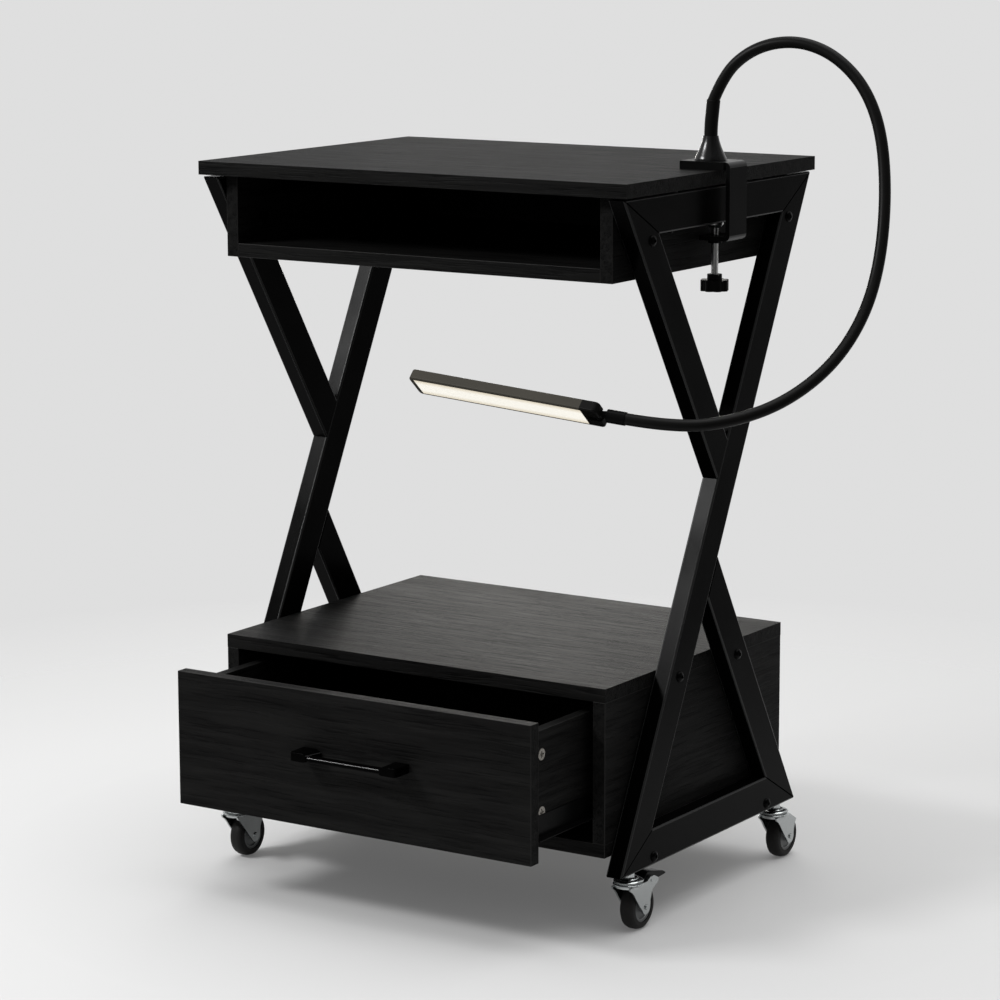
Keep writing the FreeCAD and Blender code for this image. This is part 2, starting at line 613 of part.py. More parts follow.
# ---------------------------------------------------------------------------
# Frame bolts with their nuts, washers, and the pads and screws of the tabletop
# ---------------------------------------------------------------------------
# how far inwards from the outer face of the frame each shank runs, and its nut's place
SHANKS = {
    "cubby_front": ("tube_wide + side_gap + board + nut_high + 1", "body_half - board"),
    "cubby_rear": ("tube_wide + side_gap + board + nut_high + 1", "body_half - board"),
    "cabinet_front": ("tube_wide + side_gap + 2.5 * board", None),
    "cabinet_rear": ("tube_wide + side_gap + 2.5 * board", None),
    "bearer_front": ("tube_wide + side_gap + bearer_wall + nut_high + 1",
                     "body_half - bearer_wall"),
    "bearer_rear": ("tube_wide + side_gap + bearer_wall + nut_high + 1",
                    "body_half - bearer_wall"),
}
bolts = []
washers = []
for hand, side in SIDES:
    for key, y, z in BOLTS:
        tag = "%s_%s" % (hand, key)
        reach, nut_face = SHANKS[key]
        shank = rod("shank_" + tag, "X", from_middle(side, "frame_out - (%s)" % reach, reach), y, z,
                    "bolt_size", reach)
        wide, narrow = ("bolt_head", "bolt_head * 0.55")
        start, end = (wide, narrow) if side > 0 else (narrow, wide)
        head = cone("head_" + tag, "X", from_middle(side, "frame_out", "bolt_head_high"), y, z,
                    start, end, "bolt_head_high")
        key_hole = hexagon("key_" + tag, "X",
                           from_middle(side, "frame_out + bolt_head_high / 3",
                                       "bolt_head_high * 2 / 3"), y, z, "bolt_key",
                           "bolt_head_high * 2 / 3")
        bolts.append(cut("bolt_" + tag, fuse("bolt_blank_" + tag, [shank, head]), [key_hole]))
        if nut_face:
            nut = hexagon("nut_blank_" + tag, "X", from_middle(side, nut_face + " - nut_high",
                                                               "nut_high"), y, z, "10", "nut_high")
            bore = rod("nut_bore_" + tag, "X", from_middle(side, nut_face + " - nut_high",
                                                           "nut_high"), y, z, "bolt_size",
                       "nut_high")
            bolts.append(cut("nut_" + tag, nut, [bore]))
        disc = rod("washer_disc_" + tag, "X", from_middle(side, "body_half", "side_gap"), y, z,
                   "washer_size", "side_gap")
        eye = rod("washer_eye_" + tag, "X", from_middle(side, "body_half", "side_gap"), y, z,
                  "bolt_size + 2 * bolt_gap", "side_gap")
        washers.append(cut("washer_" + tag, disc, [eye]))
for k, (s, e) in enumerate(TOP_SCREWS):
    x = "%d * frame_mid" % s
    y = "%d * screw_spread" % e
    disc = rod("pad_disc_%d" % k, "Z", x, y, "frame_high", "pad_size", "top_gap")
    eye = rod("pad_eye_%d" % k, "Z", x, y, "frame_high", "screw_size + 2 * bolt_gap", "top_gap")
    washers.append(cut("pad_%d" % k, disc, [eye]))
    stem = rod("top_screw_stem_%d" % k, "Z", x, y, "rail_top_z",
               "screw_size", "tube_deep + top_gap + screw_bite")
    head = cone("top_screw_head_%d" % k, "Z", x, y, "rail_top_z - 2.5", "6", "9", "2.5")
    bolts.append(fuse("top_screw_%d" % k, [stem, head]))
node(group("frame_bolts", bolts))
node(group("spacer_washers", washers))

# ---------------------------------------------------------------------------
# Drawer: front board, box, cam locks
# ---------------------------------------------------------------------------
for hand, side in SIDES:
    blank = box("drawer_%s_blank" % hand, from_middle(side, "drawer_half - box_board",
                                                      "box_board"),
                "box_y", "box_z", "box_board", "box_deep", "box_tall")
    pockets = [rod("cam_hole_%s_%d" % (hand, k), "X",
                   from_middle(side, "drawer_half - cam_deep", "cam_deep"),
                   "box_y + cam_setback", "box_z + cam_low + %d * cam_pitch" % k,
                   "cam_size + 2 * fit_gap", "cam_deep") for k in (0, 1)]
    node(cut("drawer_%s_side" % hand, blank, pockets))
cams = []
for hand, side in SIDES:
    for k in (0, 1):
        disc = rod("cam_disc_%s_%d" % (hand, k), "X",
                   from_middle(side, "drawer_half - cam_deep", "cam_deep"),
                   "box_y + cam_setback", "box_z + cam_low + %d * cam_pitch" % k,
                   "cam_size", "cam_deep")
        slots = [box("cam_slot_%s_%d_%d" % (hand, k, turn),
                     from_middle(side, "drawer_half - 1.5", "1.5"),
                     "box_y + cam_setback - %s" % ("0.9" if turn else "3.6"),
                     "box_z + cam_low + %d * cam_pitch - %s" % (k, "3.6" if turn else "0.9"),
                     "1.5", "1.8" if turn else "7.2", "7.2" if turn else "1.8")
                 for turn in (0, 1)]
        cams.append(cut("cam_%s_%d" % (hand, k), disc, slots))
node(group("drawer_cams", cams))
node(box("drawer_front", "-front_half", "front_y", "front_low", "2 * front_half", "board",
         "front_tall"))
node(box("drawer_back", "box_board - drawer_half", "box_y + box_deep - box_board", "box_z",
         "2 * (drawer_half - box_board)", "box_board", "box_tall"))
node(box("drawer_floor", "box_board - drawer_half", "box_y", "box_z + floor_rise",
         "2 * (drawer_half - box_board)", "box_deep - box_board", "box_floor"))

# Bar pull: two flat posts that narrow to the height of the bar between them
posts = []
for hand, side in SIDES:
    outer = "handle_shift + %d * handle_long / 2" % side
    plan = prism("handle_plan_%s" % hand, "XY", [
        (outer, "front_y"), (outer, "front_y - handle_reach + 3"),
        ("%s - %d * 2" % (outer, side), "front_y - handle_reach"),
        ("%s - %d * (handle_post - handle_taper)" % (outer, side), "front_y - handle_reach"),
        ("%s - %d * handle_post" % (outer, side), "front_y")],
        "handle_z - handle_high / 2", "handle_high")
    face = prism("handle_face_%s" % hand, "XZ", [
        ("%s" % outer, "handle_z - handle_high / 2"), ("%s" % outer, "handle_z + handle_high / 2"),
        ("%s - %d * (handle_post - handle_nose)" % (outer, side), "handle_z + handle_high / 2"),
        ("%s - %d * handle_post" % (outer, side), "handle_z - 1 + handle_bar / 2"),
        ("%s - %d * handle_post" % (outer, side), "handle_z - 1 - handle_bar / 2"),
        ("%s - %d * (handle_post - handle_nose)" % (outer, side), "handle_z - handle_high / 2")],
        "front_y - handle_reach", "handle_reach")
    posts.append(common("handle_post_%s" % hand, [plan, face]))
bar = prism("handle_grip", "YZ", [
    ("front_y - handle_reach + 1", "handle_z - handle_bar / 2"),
    ("front_y - handle_reach + 2.2", "handle_z - 1 - handle_bar / 2"),
    ("front_y - handle_reach + handle_deep - 1.5", "handle_z - 1 - handle_bar / 2"),
    ("front_y - handle_reach + handle_deep", "handle_z + 0.5 - handle_bar / 2"),
    ("front_y - handle_reach + handle_deep", "handle_z - 2.5 + handle_bar / 2"),
    ("front_y - handle_reach + handle_deep - 1.5", "handle_z - 1 + handle_bar / 2"),
    ("front_y - handle_reach + 2.2", "handle_z - 1 + handle_bar / 2"),
    ("front_y - handle_reach + 1", "handle_z - 2 + handle_bar / 2")],
    "handle_shift + 8 - handle_long / 2", "handle_long - 16")
node(fuse("drawer_handle", posts + [bar]))

# ---------------------------------------------------------------------------
# Runners: a channel on the cabinet with a roller at its mouth, and a flanged rail on the
# drawer with a roller at its tail
# ---------------------------------------------------------------------------
cabinet_runners = []
drawer_runners = []
cabinet_rollers = []
drawer_rollers = []
# the channel starts just behind the front of the shut drawer
RUN_Y = "cabinet_front + board + shut_gap"
MOUTH_Y = "cabinet_front + board + shut_gap + roller_size / 2"
TAIL_Y = "box_y + box_deep - roller_size / 2 - 4"
WEB_HIGH = "flange_z - track_z + 3 * runner_wall + flange_play"
for hand, side in SIDES:
    # channel: web against the cabinet side, track below, lip that keeps the drawer down
    web = box("channel_web_" + hand,
              from_middle(side, "cabinet_half - runner_wall", "runner_wall"), RUN_Y,
              "track_z - runner_wall", "runner_wall", "box_deep", WEB_HIGH)
    track = box("channel_track_" + hand,
                from_middle(side, "tail_roller_x - 1", "cabinet_half - tail_roller_x + 1"),
                RUN_Y + " + roller_size + 4", "track_z - runner_wall",
                "cabinet_half - tail_roller_x + 1", "box_deep - roller_size - 4", "runner_wall")
    lip = box("channel_lip_" + hand, from_middle(side, "cabinet_half - lip_wide", "lip_wide"),
              RUN_Y, "flange_z + runner_wall + flange_play", "lip_wide", "box_deep",
              "runner_wall")
    pin = rod("channel_pin_" + hand, "X",
              from_middle(side, "mouth_roller_x - 1", "cabinet_half - mouth_roller_x + 1"),
              MOUTH_Y, "roller_z", "roller_pin", "cabinet_half - mouth_roller_x + 1")
    pin_head = rod("channel_head_" + hand, "X", from_middle(side, "mouth_roller_x - 1.2", "1"),
                   MOUTH_Y, "roller_z", "roller_pin + 4", "1")
    cabinet_runners.append(fuse("cabinet_runner_" + hand, [web, track, lip, pin, pin_head]))

    # rail: web on the drawer side, shelf under it, flange that rides on the mouth roller,
    # and a lug at the tail for the second roller
    rail_web = box("rail_web_" + hand, from_middle(side, "drawer_half", "runner_wall"),
                   "box_y", "flange_z", "runner_wall", "box_deep", "box_z - flange_z + 16")
    rail_shelf = box("rail_shelf_" + hand,
                     from_middle(side, "drawer_half - box_board", "box_board + runner_wall"),
                     "box_y", "box_z - runner_wall", "box_board + runner_wall", "box_deep",
                     "runner_wall")
    rail_flange = box("rail_flange_" + hand,
                      from_middle(side, "drawer_half", "slide_gap - 2.3"), "box_y", "flange_z",
                      "slide_gap - 2.3", "box_deep", "runner_wall")
    rail_lug = box("rail_lug_" + hand, from_middle(side, "drawer_half", "runner_wall"),
                   TAIL_Y + " - roller_size / 2", "roller_z - 6", "runner_wall",
                   "roller_size", "flange_z - roller_z + 7")
    rail_pin = rod("rail_pin_" + hand, "X",
                   from_middle(side, "drawer_half", "runner_wall + roll_gap + roller_wide + 1"),
                   TAIL_Y, "roller_z", "roller_pin", "runner_wall + roll_gap + roller_wide + 1")
    rail_head = rod("rail_head_" + hand, "X",
                    from_middle(side, "tail_roller_x + roller_wide + 0.2", "1"), TAIL_Y,
                    "roller_z", "roller_pin + 4", "1")
    drawer_runners.append(fuse("drawer_runner_" + hand,
                               [rail_web, rail_shelf, rail_flange, rail_lug, rail_pin,
                                rail_head]))
    for rollers, x, y, end in ((cabinet_rollers, "mouth_roller_x", MOUTH_Y, "mouth"),
                               (drawer_rollers, "tail_roller_x", TAIL_Y, "tail")):
        tag = "%s_%s" % (end, hand)
        disc = rod("roller_disc_" + tag, "X", from_middle(side, x, "roller_wide"), y,
                   "roller_z", "roller_size", "roller_wide")
        bore = rod("roller_bore_" + tag, "X", from_middle(side, x, "roller_wide"), y,
                   "roller_z", "roller_pin + 2 * spin_gap", "roller_wide")
        rollers.append(cut("roller_" + tag, disc, [bore]))
node(group("cabinet_runners", cabinet_runners))
node(group("drawer_runners", drawer_runners))
node(group("cabinet_rollers", cabinet_rollers))
node(group("drawer_rollers", drawer_rollers))

# ---------------------------------------------------------------------------
# Casters: threaded stem, ball raceway and fork, wheel, and a brake pedal on the front pair
# ---------------------------------------------------------------------------
CASTERS = [("front_right", 1, "caster_front"), ("front_left", -1, "caster_front"),
           ("rear_right", 1, "caster_rear"), ("rear_left", -1, "caster_rear")]
stems = []
for tag, side, stem_y in CASTERS:
    x = "%d * frame_mid" % side
    wheel_y = stem_y + " + trail"
    # stem with a nut under the tube and one inside it
    thread = rod("thread_" + tag, "Z", x, stem_y, "crown_z - 1",
                 "stem_size", "frame_low + stem_rise - crown_z + 1")
    collar = hexagon("stem_nut_" + tag, "Z", x, stem_y, "frame_low - stem_nut_high", "stem_nut",
                     "stem_nut_high")
    inner = hexagon("stem_inner_" + tag, "Z", x, stem_y, "frame_low + tube_wall", "stem_nut",
                    "6.5")
    rivet = rod("stem_rivet_" + tag, "Z", x, stem_y, "crown_z - 2.6", "stem_size + 5", "1.8")
    stems.append(fuse("stem_" + tag, [thread, collar, inner, rivet]))
    # fork: two curved legs, a crown plate and the raceway cup
    crown = turned("crown_" + tag, [
        ("stem_size / 2 + spin_gap", "0"), ("crown_size / 2 - 1.2", "0"),
        ("crown_size / 2", "0.8"), ("crown_size / 2", "1.8"), ("crown_size / 2 - 1", "2.8"),
        ("crown_size / 2 - 2.6", "3"), ("crown_size / 2 - 2.6", "3.8"),
        ("crown_size / 2 - 1", "4.2"), ("crown_size / 2 - 0.5", "5"),
        ("crown_size / 2 - 1", "crown_high - 2.8"), ("crown_size / 2 - 3", "crown_high - 1.8"),
        ("crown_size / 2 - 6", "crown_high - 1.6"), ("crown_size / 2 - 7", "crown_high - 0.6"),
        ("stem_size / 2 + spin_gap", "crown_high - 0.6")], x, stem_y, "crown_z")
    plate = rod("plate_" + tag, "Z", x, stem_y, "crown_z - fork_wall", "crown_size - 4",
                "fork_wall")
    plate_hole = rod("plate_hole_" + tag, "Z", x, stem_y, "crown_z - fork_wall",
                     "stem_size + 7", "fork_wall")
    plate_ring = cut("plate_ring_" + tag, plate, [plate_hole])
    # each leg sweeps down from the raceway to a round end about the axle; the braked forks
    # reach further back to carry the pedal
    tail = [("crown_size / 2 - 2", "0")]
    if tag.startswith("front"):
        tail = [("trail + 20", "-8"), ("trail + 26", "-4.5"), ("trail + 25", "-1"),
                ("trail + 16", "3.4"), ("trail + 8", "3.4"), ("trail + 2", "0")]
    front = [("-crown_size / 2 + 1", "0"), ("-crown_size / 2 + 2.5", "-3.2"),
             ("-crown_size / 2 + 6", "-5.5"), ("-7", "-9.5"), ("-3", "-15"), ("1.5", "-20.5"),
             ("5.5", "-25.5")]
    around = [("axle_boss / 2 * cos(%d)" % turn, "axle_boss / 2 * sin(%d)" % turn)
              for turn in range(200, 371, 17)]
    rear = [("trail + 8.4", "-22"), ("trail + 11", "-14.5"), ("trail + 14", "-10")]
    points = [(stem_y + " + (%s)" % along, "crown_z + (%s)" % up) for along, up in front]
    points += [(stem_y + " + trail + %s" % along, "axle_z + %s" % up) for along, up in around]
    points += [(stem_y + " + (%s)" % along, "crown_z + (%s)" % up) for along, up in rear + tail]
    legs = [prism("leg_%s_%s" % (leg, tag), "YZ", points, "%s + (%s)" % (x, start), "fork_wall")
            for leg, start in (("in", "-fork_gap / 2 - fork_wall"), ("out", "fork_gap / 2"))]
    bridge = box("bridge_" + tag, "%s - fork_gap / 2" % x, stem_y + " + crown_size / 2 - 6",
                 "crown_z - fork_wall", "fork_gap", "4.5", "fork_wall")
    axle = rod("axle_" + tag, "X", "%s - fork_gap / 2 - fork_wall - 1.5" % x, wheel_y, "axle_z",
               "axle_size", "fork_gap + 2 * fork_wall + 3")
    pieces = [crown, plate_ring, bridge, axle] + legs
    if tag.startswith("front"):
        pieces.append(rod("pedal_rivet_" + tag, "X", "%s - fork_gap / 2 - fork_wall - 0.8" % x,
                          wheel_y + " + pedal_pin_back", "crown_z - pedal_pin_drop", "pedal_pin",
                          "fork_gap + 2 * fork_wall + 1.6"))
    node(fuse("fork_" + tag, pieces))
    # tyre and hub
    tyre = turned("tyre_" + tag, [
        ("wheel_size / 2 - tyre_thick", "-tread_wide / 2"),
        ("wheel_size / 2 - 4", "-tread_wide / 2"),
        ("wheel_size / 2 - 1.2", "-tread_wide / 2 + 2"),
        ("wheel_size / 2", "-tread_wide / 2 + 5.5"),
        ("wheel_size / 2", "tread_wide / 2 - 5.5"),
        ("wheel_size / 2 - 1.2", "tread_wide / 2 - 2"),
        ("wheel_size / 2 - 4", "tread_wide / 2"),
        ("wheel_size / 2 - tyre_thick", "tread_wide / 2")], x, wheel_y, "axle_z", AXES["X"])
    node(tyre)
    hub = turned("hub_" + tag, [
        ("axle_size / 2 + spin_gap", "-fork_gap / 2 + 0.5"), ("5.5", "-fork_gap / 2 + 0.5"),
        ("6.5", "-hub_wide / 2 + 1.5"), ("wheel_size / 2 - tyre_thick - 4", "-hub_wide / 2 + 2"),
        ("wheel_size / 2 - tyre_thick - 3", "-hub_wide / 2"),
        ("wheel_size / 2 - tyre_thick", "-hub_wide / 2"),
        ("wheel_size / 2 - tyre_thick", "hub_wide / 2"),
        ("wheel_size / 2 - tyre_thick - 3", "hub_wide / 2"),
        ("wheel_size / 2 - tyre_thick - 4", "hub_wide / 2 - 2"),
        ("6.5", "hub_wide / 2 - 1.5"), ("5.5", "fork_gap / 2 - 0.5"),
        ("axle_size / 2 + spin_gap", "fork_gap / 2 - 0.5")], x, wheel_y, "axle_z", AXES["X"])
    node(hub)
node(group("caster_stems", stems))

# Brake pedal: a moulded lever that rocks on a rivet behind the axle, its nose over the tyre
for tag, side, stem_y in CASTERS[:2]:
    x = "%d * frame_mid" % side
    blank = prism("pedal_" + tag, "YZ", [
        (stem_y + " + trail + 1.5", "wheel_size + 2.6"),
        (stem_y + " + trail + 1.5", "wheel_size + 0.8"),
        (stem_y + " + trail + 5", "wheel_size + 0.6"),
        (stem_y + " + trail + 8", "wheel_size - 0.8"),
        (stem_y + " + trail + 18", "wheel_size - 1"),
        (stem_y + " + pedal_long - 12", "wheel_size - 0.6"),
        (stem_y + " + pedal_long - 1", "wheel_size"),
        (stem_y + " + pedal_long", "wheel_size + 1.2"),
        (stem_y + " + pedal_long - 6", "wheel_size + 4.5"),
        (stem_y + " + trail + 19", "wheel_size + 10"),
        (stem_y + " + trail + 9", "wheel_size + 10.5"),
        (stem_y + " + trail + 3", "wheel_size + 6")],
        "%s - pedal_wide / 2" % x, "pedal_wide")
    eye = rod("pedal_eye_" + tag, "X", "%s - pedal_wide / 2" % x,
              stem_y + " + trail + pedal_pin_back", "crown_z - pedal_pin_drop",
              "pedal_pin + 2 * spin_gap", "pedal_wide")
    node(cut("brake_" + tag, blank, [eye]))

# ---------------------------------------------------------------------------
# Clamp of the lamp: it grips the tabletop together with the top rail under it
# ---------------------------------------------------------------------------
SCREW_X = "frame_mid"
jaw = prism("clamp_jaw", "XZ", [
    ("clamp_out - clamp_reach", "top_high"), ("clamp_out - clamp_reach", "jaw_z - 1"),
    ("clamp_out - clamp_reach + 1", "jaw_z"), ("clamp_in - jaw_gap", "jaw_z"),
    ("clamp_in - jaw_gap", "top_high")],
    "clamp_place - jaw_wide / 2", "jaw_wide")
strip_blank = prism("clamp_strip_blank", "XZ", [
    ("clamp_in - jaw_gap", "jaw_z"), ("clamp_out", "jaw_z"), ("clamp_out", "arm_z - clamp_wall"),
    ("frame_in + 1", "arm_z - clamp_wall"), ("frame_in + 1", "arm_z"), ("clamp_in", "arm_z"),
    ("clamp_in", "jaw_z - clamp_wall"), ("clamp_in - jaw_gap", "jaw_z - clamp_wall")],
    "clamp_place - clamp_wide / 2", "clamp_wide")
strip = rounded("clamp_strip", strip_blank, "clamp_bend", lambda edge: runs_along(
    edge, Vector(0, 1, 0)) and abs(edge.Vertexes[0].X - size("clamp_out")) < 0.01)
boss = rod("clamp_boss", "Z", SCREW_X, "clamp_place", "arm_z - clamp_wall - 4", "thread_size + 7",
           "4")
thread_hole = rod("clamp_thread_hole", "Z", SCREW_X, "clamp_place", "arm_z - clamp_wall - 4",
                  "thread_size + 2 * spin_gap", "clamp_wall + 4")
clamp_body = fuse("clamp_body", [jaw, strip, boss])
node(cut("clamp_bracket", clamp_body, [thread_hole]))

node(turned("clamp_foot", [
    ("thread_size / 2 + spin_gap", "0"), ("thread_size / 2 + 2.5", "0"),
    ("foot_size / 2", "foot_high - 2"), ("foot_size / 2", "foot_high"), ("0", "foot_high"),
    ("0", "foot_high - 2.5"), ("thread_size / 2 + spin_gap", "foot_high - 2.5")],
    SCREW_X, "clamp_place", "foot_z"))
node(rod("clamp_screw", "Z", SCREW_X, "clamp_place", "foot_z + foot_high - 2.6 - thread_long",
         "thread_size", "thread_long"))
KNOB_Z = "foot_z + foot_high - 2.6 - thread_long - 2"
knob_core = turned("knob_core", [
    ("0", "0"), ("knob_size / 2 - 2.4", "0"), ("knob_size / 2 - 1.4", "1"),
    ("knob_size / 2 - 1.4", "knob_high - 1"), ("knob_size / 2 - 2.4", "knob_high"),
    ("collar_size / 2", "knob_high"), ("collar_size / 2", "knob_high + collar_high"),
    ("thread_size / 2", "knob_high + collar_high"), ("thread_size / 2", "2"), ("0", "2")],
    SCREW_X, "clamp_place", KNOB_Z)
LOBES = 8
lobes = [rod("knob_lobe_%d" % k, "Z",
             "%s + (knob_size - lobe_size) / 2 * cos(%s)" % (SCREW_X, 360.0 * k / LOBES),
             "clamp_place + (knob_size - lobe_size) / 2 * sin(%s)" % (360.0 * k / LOBES), KNOB_Z,
             "lobe_size", "knob_high") for k in range(LOBES)]
node(fuse("clamp_knob", [knob_core] + lobes))

# ---------------------------------------------------------------------------
# Lamp: bell foot, gooseneck, hinged head with a long diffuser
# ---------------------------------------------------------------------------
# the bell's flare: shares of the way from its top radius to its foot radius, going up
FLARE = [(0.90, 0.10), (0.74, 0.22), (0.57, 0.35), (0.41, 0.48), (0.28, 0.61), (0.16, 0.74),
         (0.07, 0.87), (0.0, 1.0)]
node(turned("neck_base", [
    ("0", "0"), ("bell_size / 2", "0"), ("bell_size / 2", "1.6"),
    *[("bell_neck / 2 + (bell_size - bell_neck) / 2 * %.3f" % share,
       "1.6 + (bell_high - 1.6) * %.3f" % up) for share, up in FLARE],
    ("sleeve_size / 2 + spin_gap", "bell_high"),
    ("sleeve_size / 2 + spin_gap", "bell_high - sleeve_plug"), ("0", "bell_high - sleeve_plug")],
    "bell_x", "clamp_place", "jaw_z"))

# Corners of the gooseneck's centreline from the sleeve to the ferrule, as shares of its reach,
# of its length to the front and of its hang, from the top of the bell. The bends are arcs
# tangent to the runs between these corners.
NECK_ROUTE = [
    (0.063, -0.003, 0.242), (0.182, -0.012, 0.335), (0.328, -0.024, 0.380), (0.484, -0.036, 0.379),
    (0.640, -0.043, 0.326), (0.785, -0.041, 0.214), (0.887, -0.016, 0.049), (0.948, 0.039, -0.181),
    (0.979, 0.130, -0.436), (0.979, 0.264, -0.646), (0.924, 0.440, -0.820), (0.800, 0.621, -0.947),
    (0.635, 0.777, -1.014), (0.438, 0.931, -1.035),
]
neck_foot = Vector(size("bell_x"), size("clamp_place"), size("bell_z"))
PIVOT = neck_foot + Vector(size("head_offset"), -size("neck_front"), -size("neck_hang"))


def arc_path(points):
    """Wire of straight runs joined by tangent arcs; returns the wire and the radii."""
    edges = []
    radii = []
    here = points[0]
    for before, corner, after in zip(points, points[1:], points[2:]):
        into = corner - before
        out = after - corner
        short = min(into.Length, out.Length)
        turn = into.getAngle(out)
        reach = 0.45 * short
        radius = reach / math.tan(turn / 2)
        start = corner - into * (reach / into.Length)
        end = corner + out * (reach / out.Length)
        middle = (start + end) * 0.5
        sag = radius * (1 / math.cos(turn / 2) - 1)
        apex = corner + (middle - corner) * (sag / (middle - corner).Length)
        edges.append(Part.LineSegment(here, start).toShape())
        edges.append(Part.Arc(start, apex, end).toShape())
        radii.append(radius)
        here = end
    edges.append(Part.LineSegment(here, points[-1]).toShape())
    return Part.Wire(edges), radii


def swept_tube(wire, start, direction, diameter):
    """Round tube along a wire."""
    circle = Part.Wire([Part.Circle(start, direction, diameter / 2).toShape()])
    return wire.makePipeShell([circle], True, False)


# the sleeve turns upright in the bell and leans above it; the neck bends at the sleeve's mouth
# and ends at the ferrule
corners = [neck_foot + Vector(out * size("neck_reach"), -front * size("neck_front"),
                              up * size("neck_hang")) for out, front, up in NECK_ROUTE]
approach = (PIVOT - corners[-1]).normalize()
tip_end = PIVOT - approach * size("tongue_long")
tip_start = tip_end - approach * size("tip_long")
lean_out = math.radians(size("sleeve_lean"))
sleeve_top = neck_foot + Vector(math.sin(lean_out), 0, math.cos(lean_out)) * size("sleeve_high")
leave = (corners[0] - sleeve_top).normalize()
route = [sleeve_top - leave * size("neck_plug")] + corners + [tip_start]
wire, radii = arc_path(route)
print("gooseneck radii:", " ".join("%.0f" % r for r in radii), "length %.0f" % wire.Length)
gooseneck = doc.addObject("Part::Feature", "gooseneck")
gooseneck.Shape = swept_tube(wire, route[0], leave, size("neck_size"))
node(gooseneck)
sleeve_foot = neck_foot - Vector(0, 0, size("sleeve_plug") - 0.3)
sleeve_bend = neck_foot + Vector(0, 0, size("sleeve_rise"))
sleeve_wire, sleeve_radii = arc_path([sleeve_foot, sleeve_bend, sleeve_top])
sleeve_blank = doc.addObject("Part::Feature", "sleeve_blank")
sleeve_blank.Shape = swept_tube(sleeve_wire, sleeve_foot, Vector(0, 0, 1), size("sleeve_size"))
node(cut("neck_sleeve", sleeve_blank, [gooseneck]))

# Head axes: along its length away from the hinge, across its width, and out of the diffuser
pitch = math.radians(size("head_pitch"))
lean = math.radians(size("head_lean"))
along = Vector(-math.cos(pitch), 0, math.sin(pitch))
across = Vector(0, math.sin(lean), -math.cos(lean))
across = (across - along * across.dot(along)).normalize()
glow = along.cross(across)
if glow.z > 0:
    glow = glow * -1
print("hinge axis", across)


def slab(name, from_end, long, wide, thick, depth):
    """Box in the head's own axes: from_end from the hinge, depth below its mid-plane."""
    corner = (PIVOT + along * from_end - across * (wide / 2) + glow * depth)
    shape = Part.makeBox(long, wide, thick)
    turn = Rotation(along, across, along.cross(across), "ZXY")
    if along.cross(across).dot(glow) < 0:
        corner = corner + glow * thick
    obj = doc.addObject("Part::Feature", name)
    obj.Shape = shape
    obj.Placement = Placement(corner, turn)
    return obj


thick = size("head_thick")
long = size("head_long")
over = size("knuckle_size") / 2
body_box = slab("head_body_box", -over, long, size("head_wide"), thick, -thick / 2)
body_plan = rounded("head_body_plan", body_box, "head_corner", lambda edge: runs_along(edge, glow))
body_form = rounded("head_body_form", body_plan, "head_round",
                    lambda edge: not runs_along(edge, glow))
window = slab("head_window", size("head_cap") - over, size("glow_long"), size("glow_wide"),
              size("glow_thick"), thick / 2 - size("glow_thick"))
gap = size("tongue_wide") / 2 + size("tongue_gap")
notch = slab("head_notch", -over - 1, 3 * over + 2, 2 * gap, thick + 2, -thick / 2 - 1)
head_body = cut("head_body", body_form, [window, notch])
PIVOT_TURN = Rotation(Vector(0, 0, 1), across)


def hinge_rod(name, diameter, half):
    """Cylinder on the hinge axis, centred on the pivot."""
    obj = doc.addObject("Part::Feature", name)
    obj.Shape = Part.makeCylinder(diameter / 2, 2 * half)
    obj.Placement = Placement(PIVOT - across * half, PIVOT_TURN)
    return obj


pin_hinge = hinge_rod("head_pin", size("knuckle_pin"), size("head_wide") / 2 - 3)
node(fuse("lamp_head", [head_body, pin_hinge]))
diffuser = slab("lamp_diffuser", size("head_cap") - over, size("glow_long"), size("glow_wide"),
                size("glow_thick"), thick / 2 - size("glow_thick"))
node(diffuser)

# Ferrule with the tongue that carries the head
ferrule = doc.addObject("Part::Feature", "ferrule_tube")
ferrule.Shape = Part.makeCylinder(size("tip_size") / 2, size("tip_long"))
ferrule.Placement = Placement(tip_start, Rotation(Vector(0, 0, 1), approach))
barrel = hinge_rod("ferrule_barrel", size("knuckle_size"), size("tongue_wide") / 2)
eye = hinge_rod("ferrule_eye", size("knuckle_pin") + 2 * size("spin_gap"),
                size("tongue_wide") / 2 + 1)
# the tongue runs square to the hinge pin
square = (approach - across * approach.dot(across)).normalize()
tongue_up = square.cross(across).normalize()
tongue_high = size("knuckle_size") * 0.6
link = doc.addObject("Part::Feature", "ferrule_link")
link.Shape = Part.makeBox(size("tongue_long") + 2, size("tongue_wide"), tongue_high)
link.Placement = Placement(PIVOT - square * (size("tongue_long") + 2)
                           - across * (size("tongue_wide") / 2) - tongue_up * (tongue_high / 2),
                           Rotation(square, across, tongue_up, "XYZ"))
tip_blank = fuse("ferrule_blank", [ferrule, barrel, link])
node(cut("neck_tip", tip_blank, [eye]))

# ---------------------------------------------------------------------------
# Recompute, check and write every piece
# ---------------------------------------------------------------------------
doc.recompute()
faults = [obj.Name for obj in doc.Objects if {"Invalid", "Error"} & set(obj.State)]
for obj in NODES:
    if obj.Shape.isNull() or not obj.Shape.isValid() or not obj.Shape.Solids:
        faults.append(obj.Label + " shape")
if faults:
    raise RuntimeError("not built: " + ", ".join(faults))
os.makedirs("parts", exist_ok=True)
for obj in NODES:
    obj.Shape.exportStep("parts/%s.step" % obj.Label)
print("%d nodes, %d solids" % (len(NODES), sum(len(obj.Shape.Solids) for obj in NODES)))
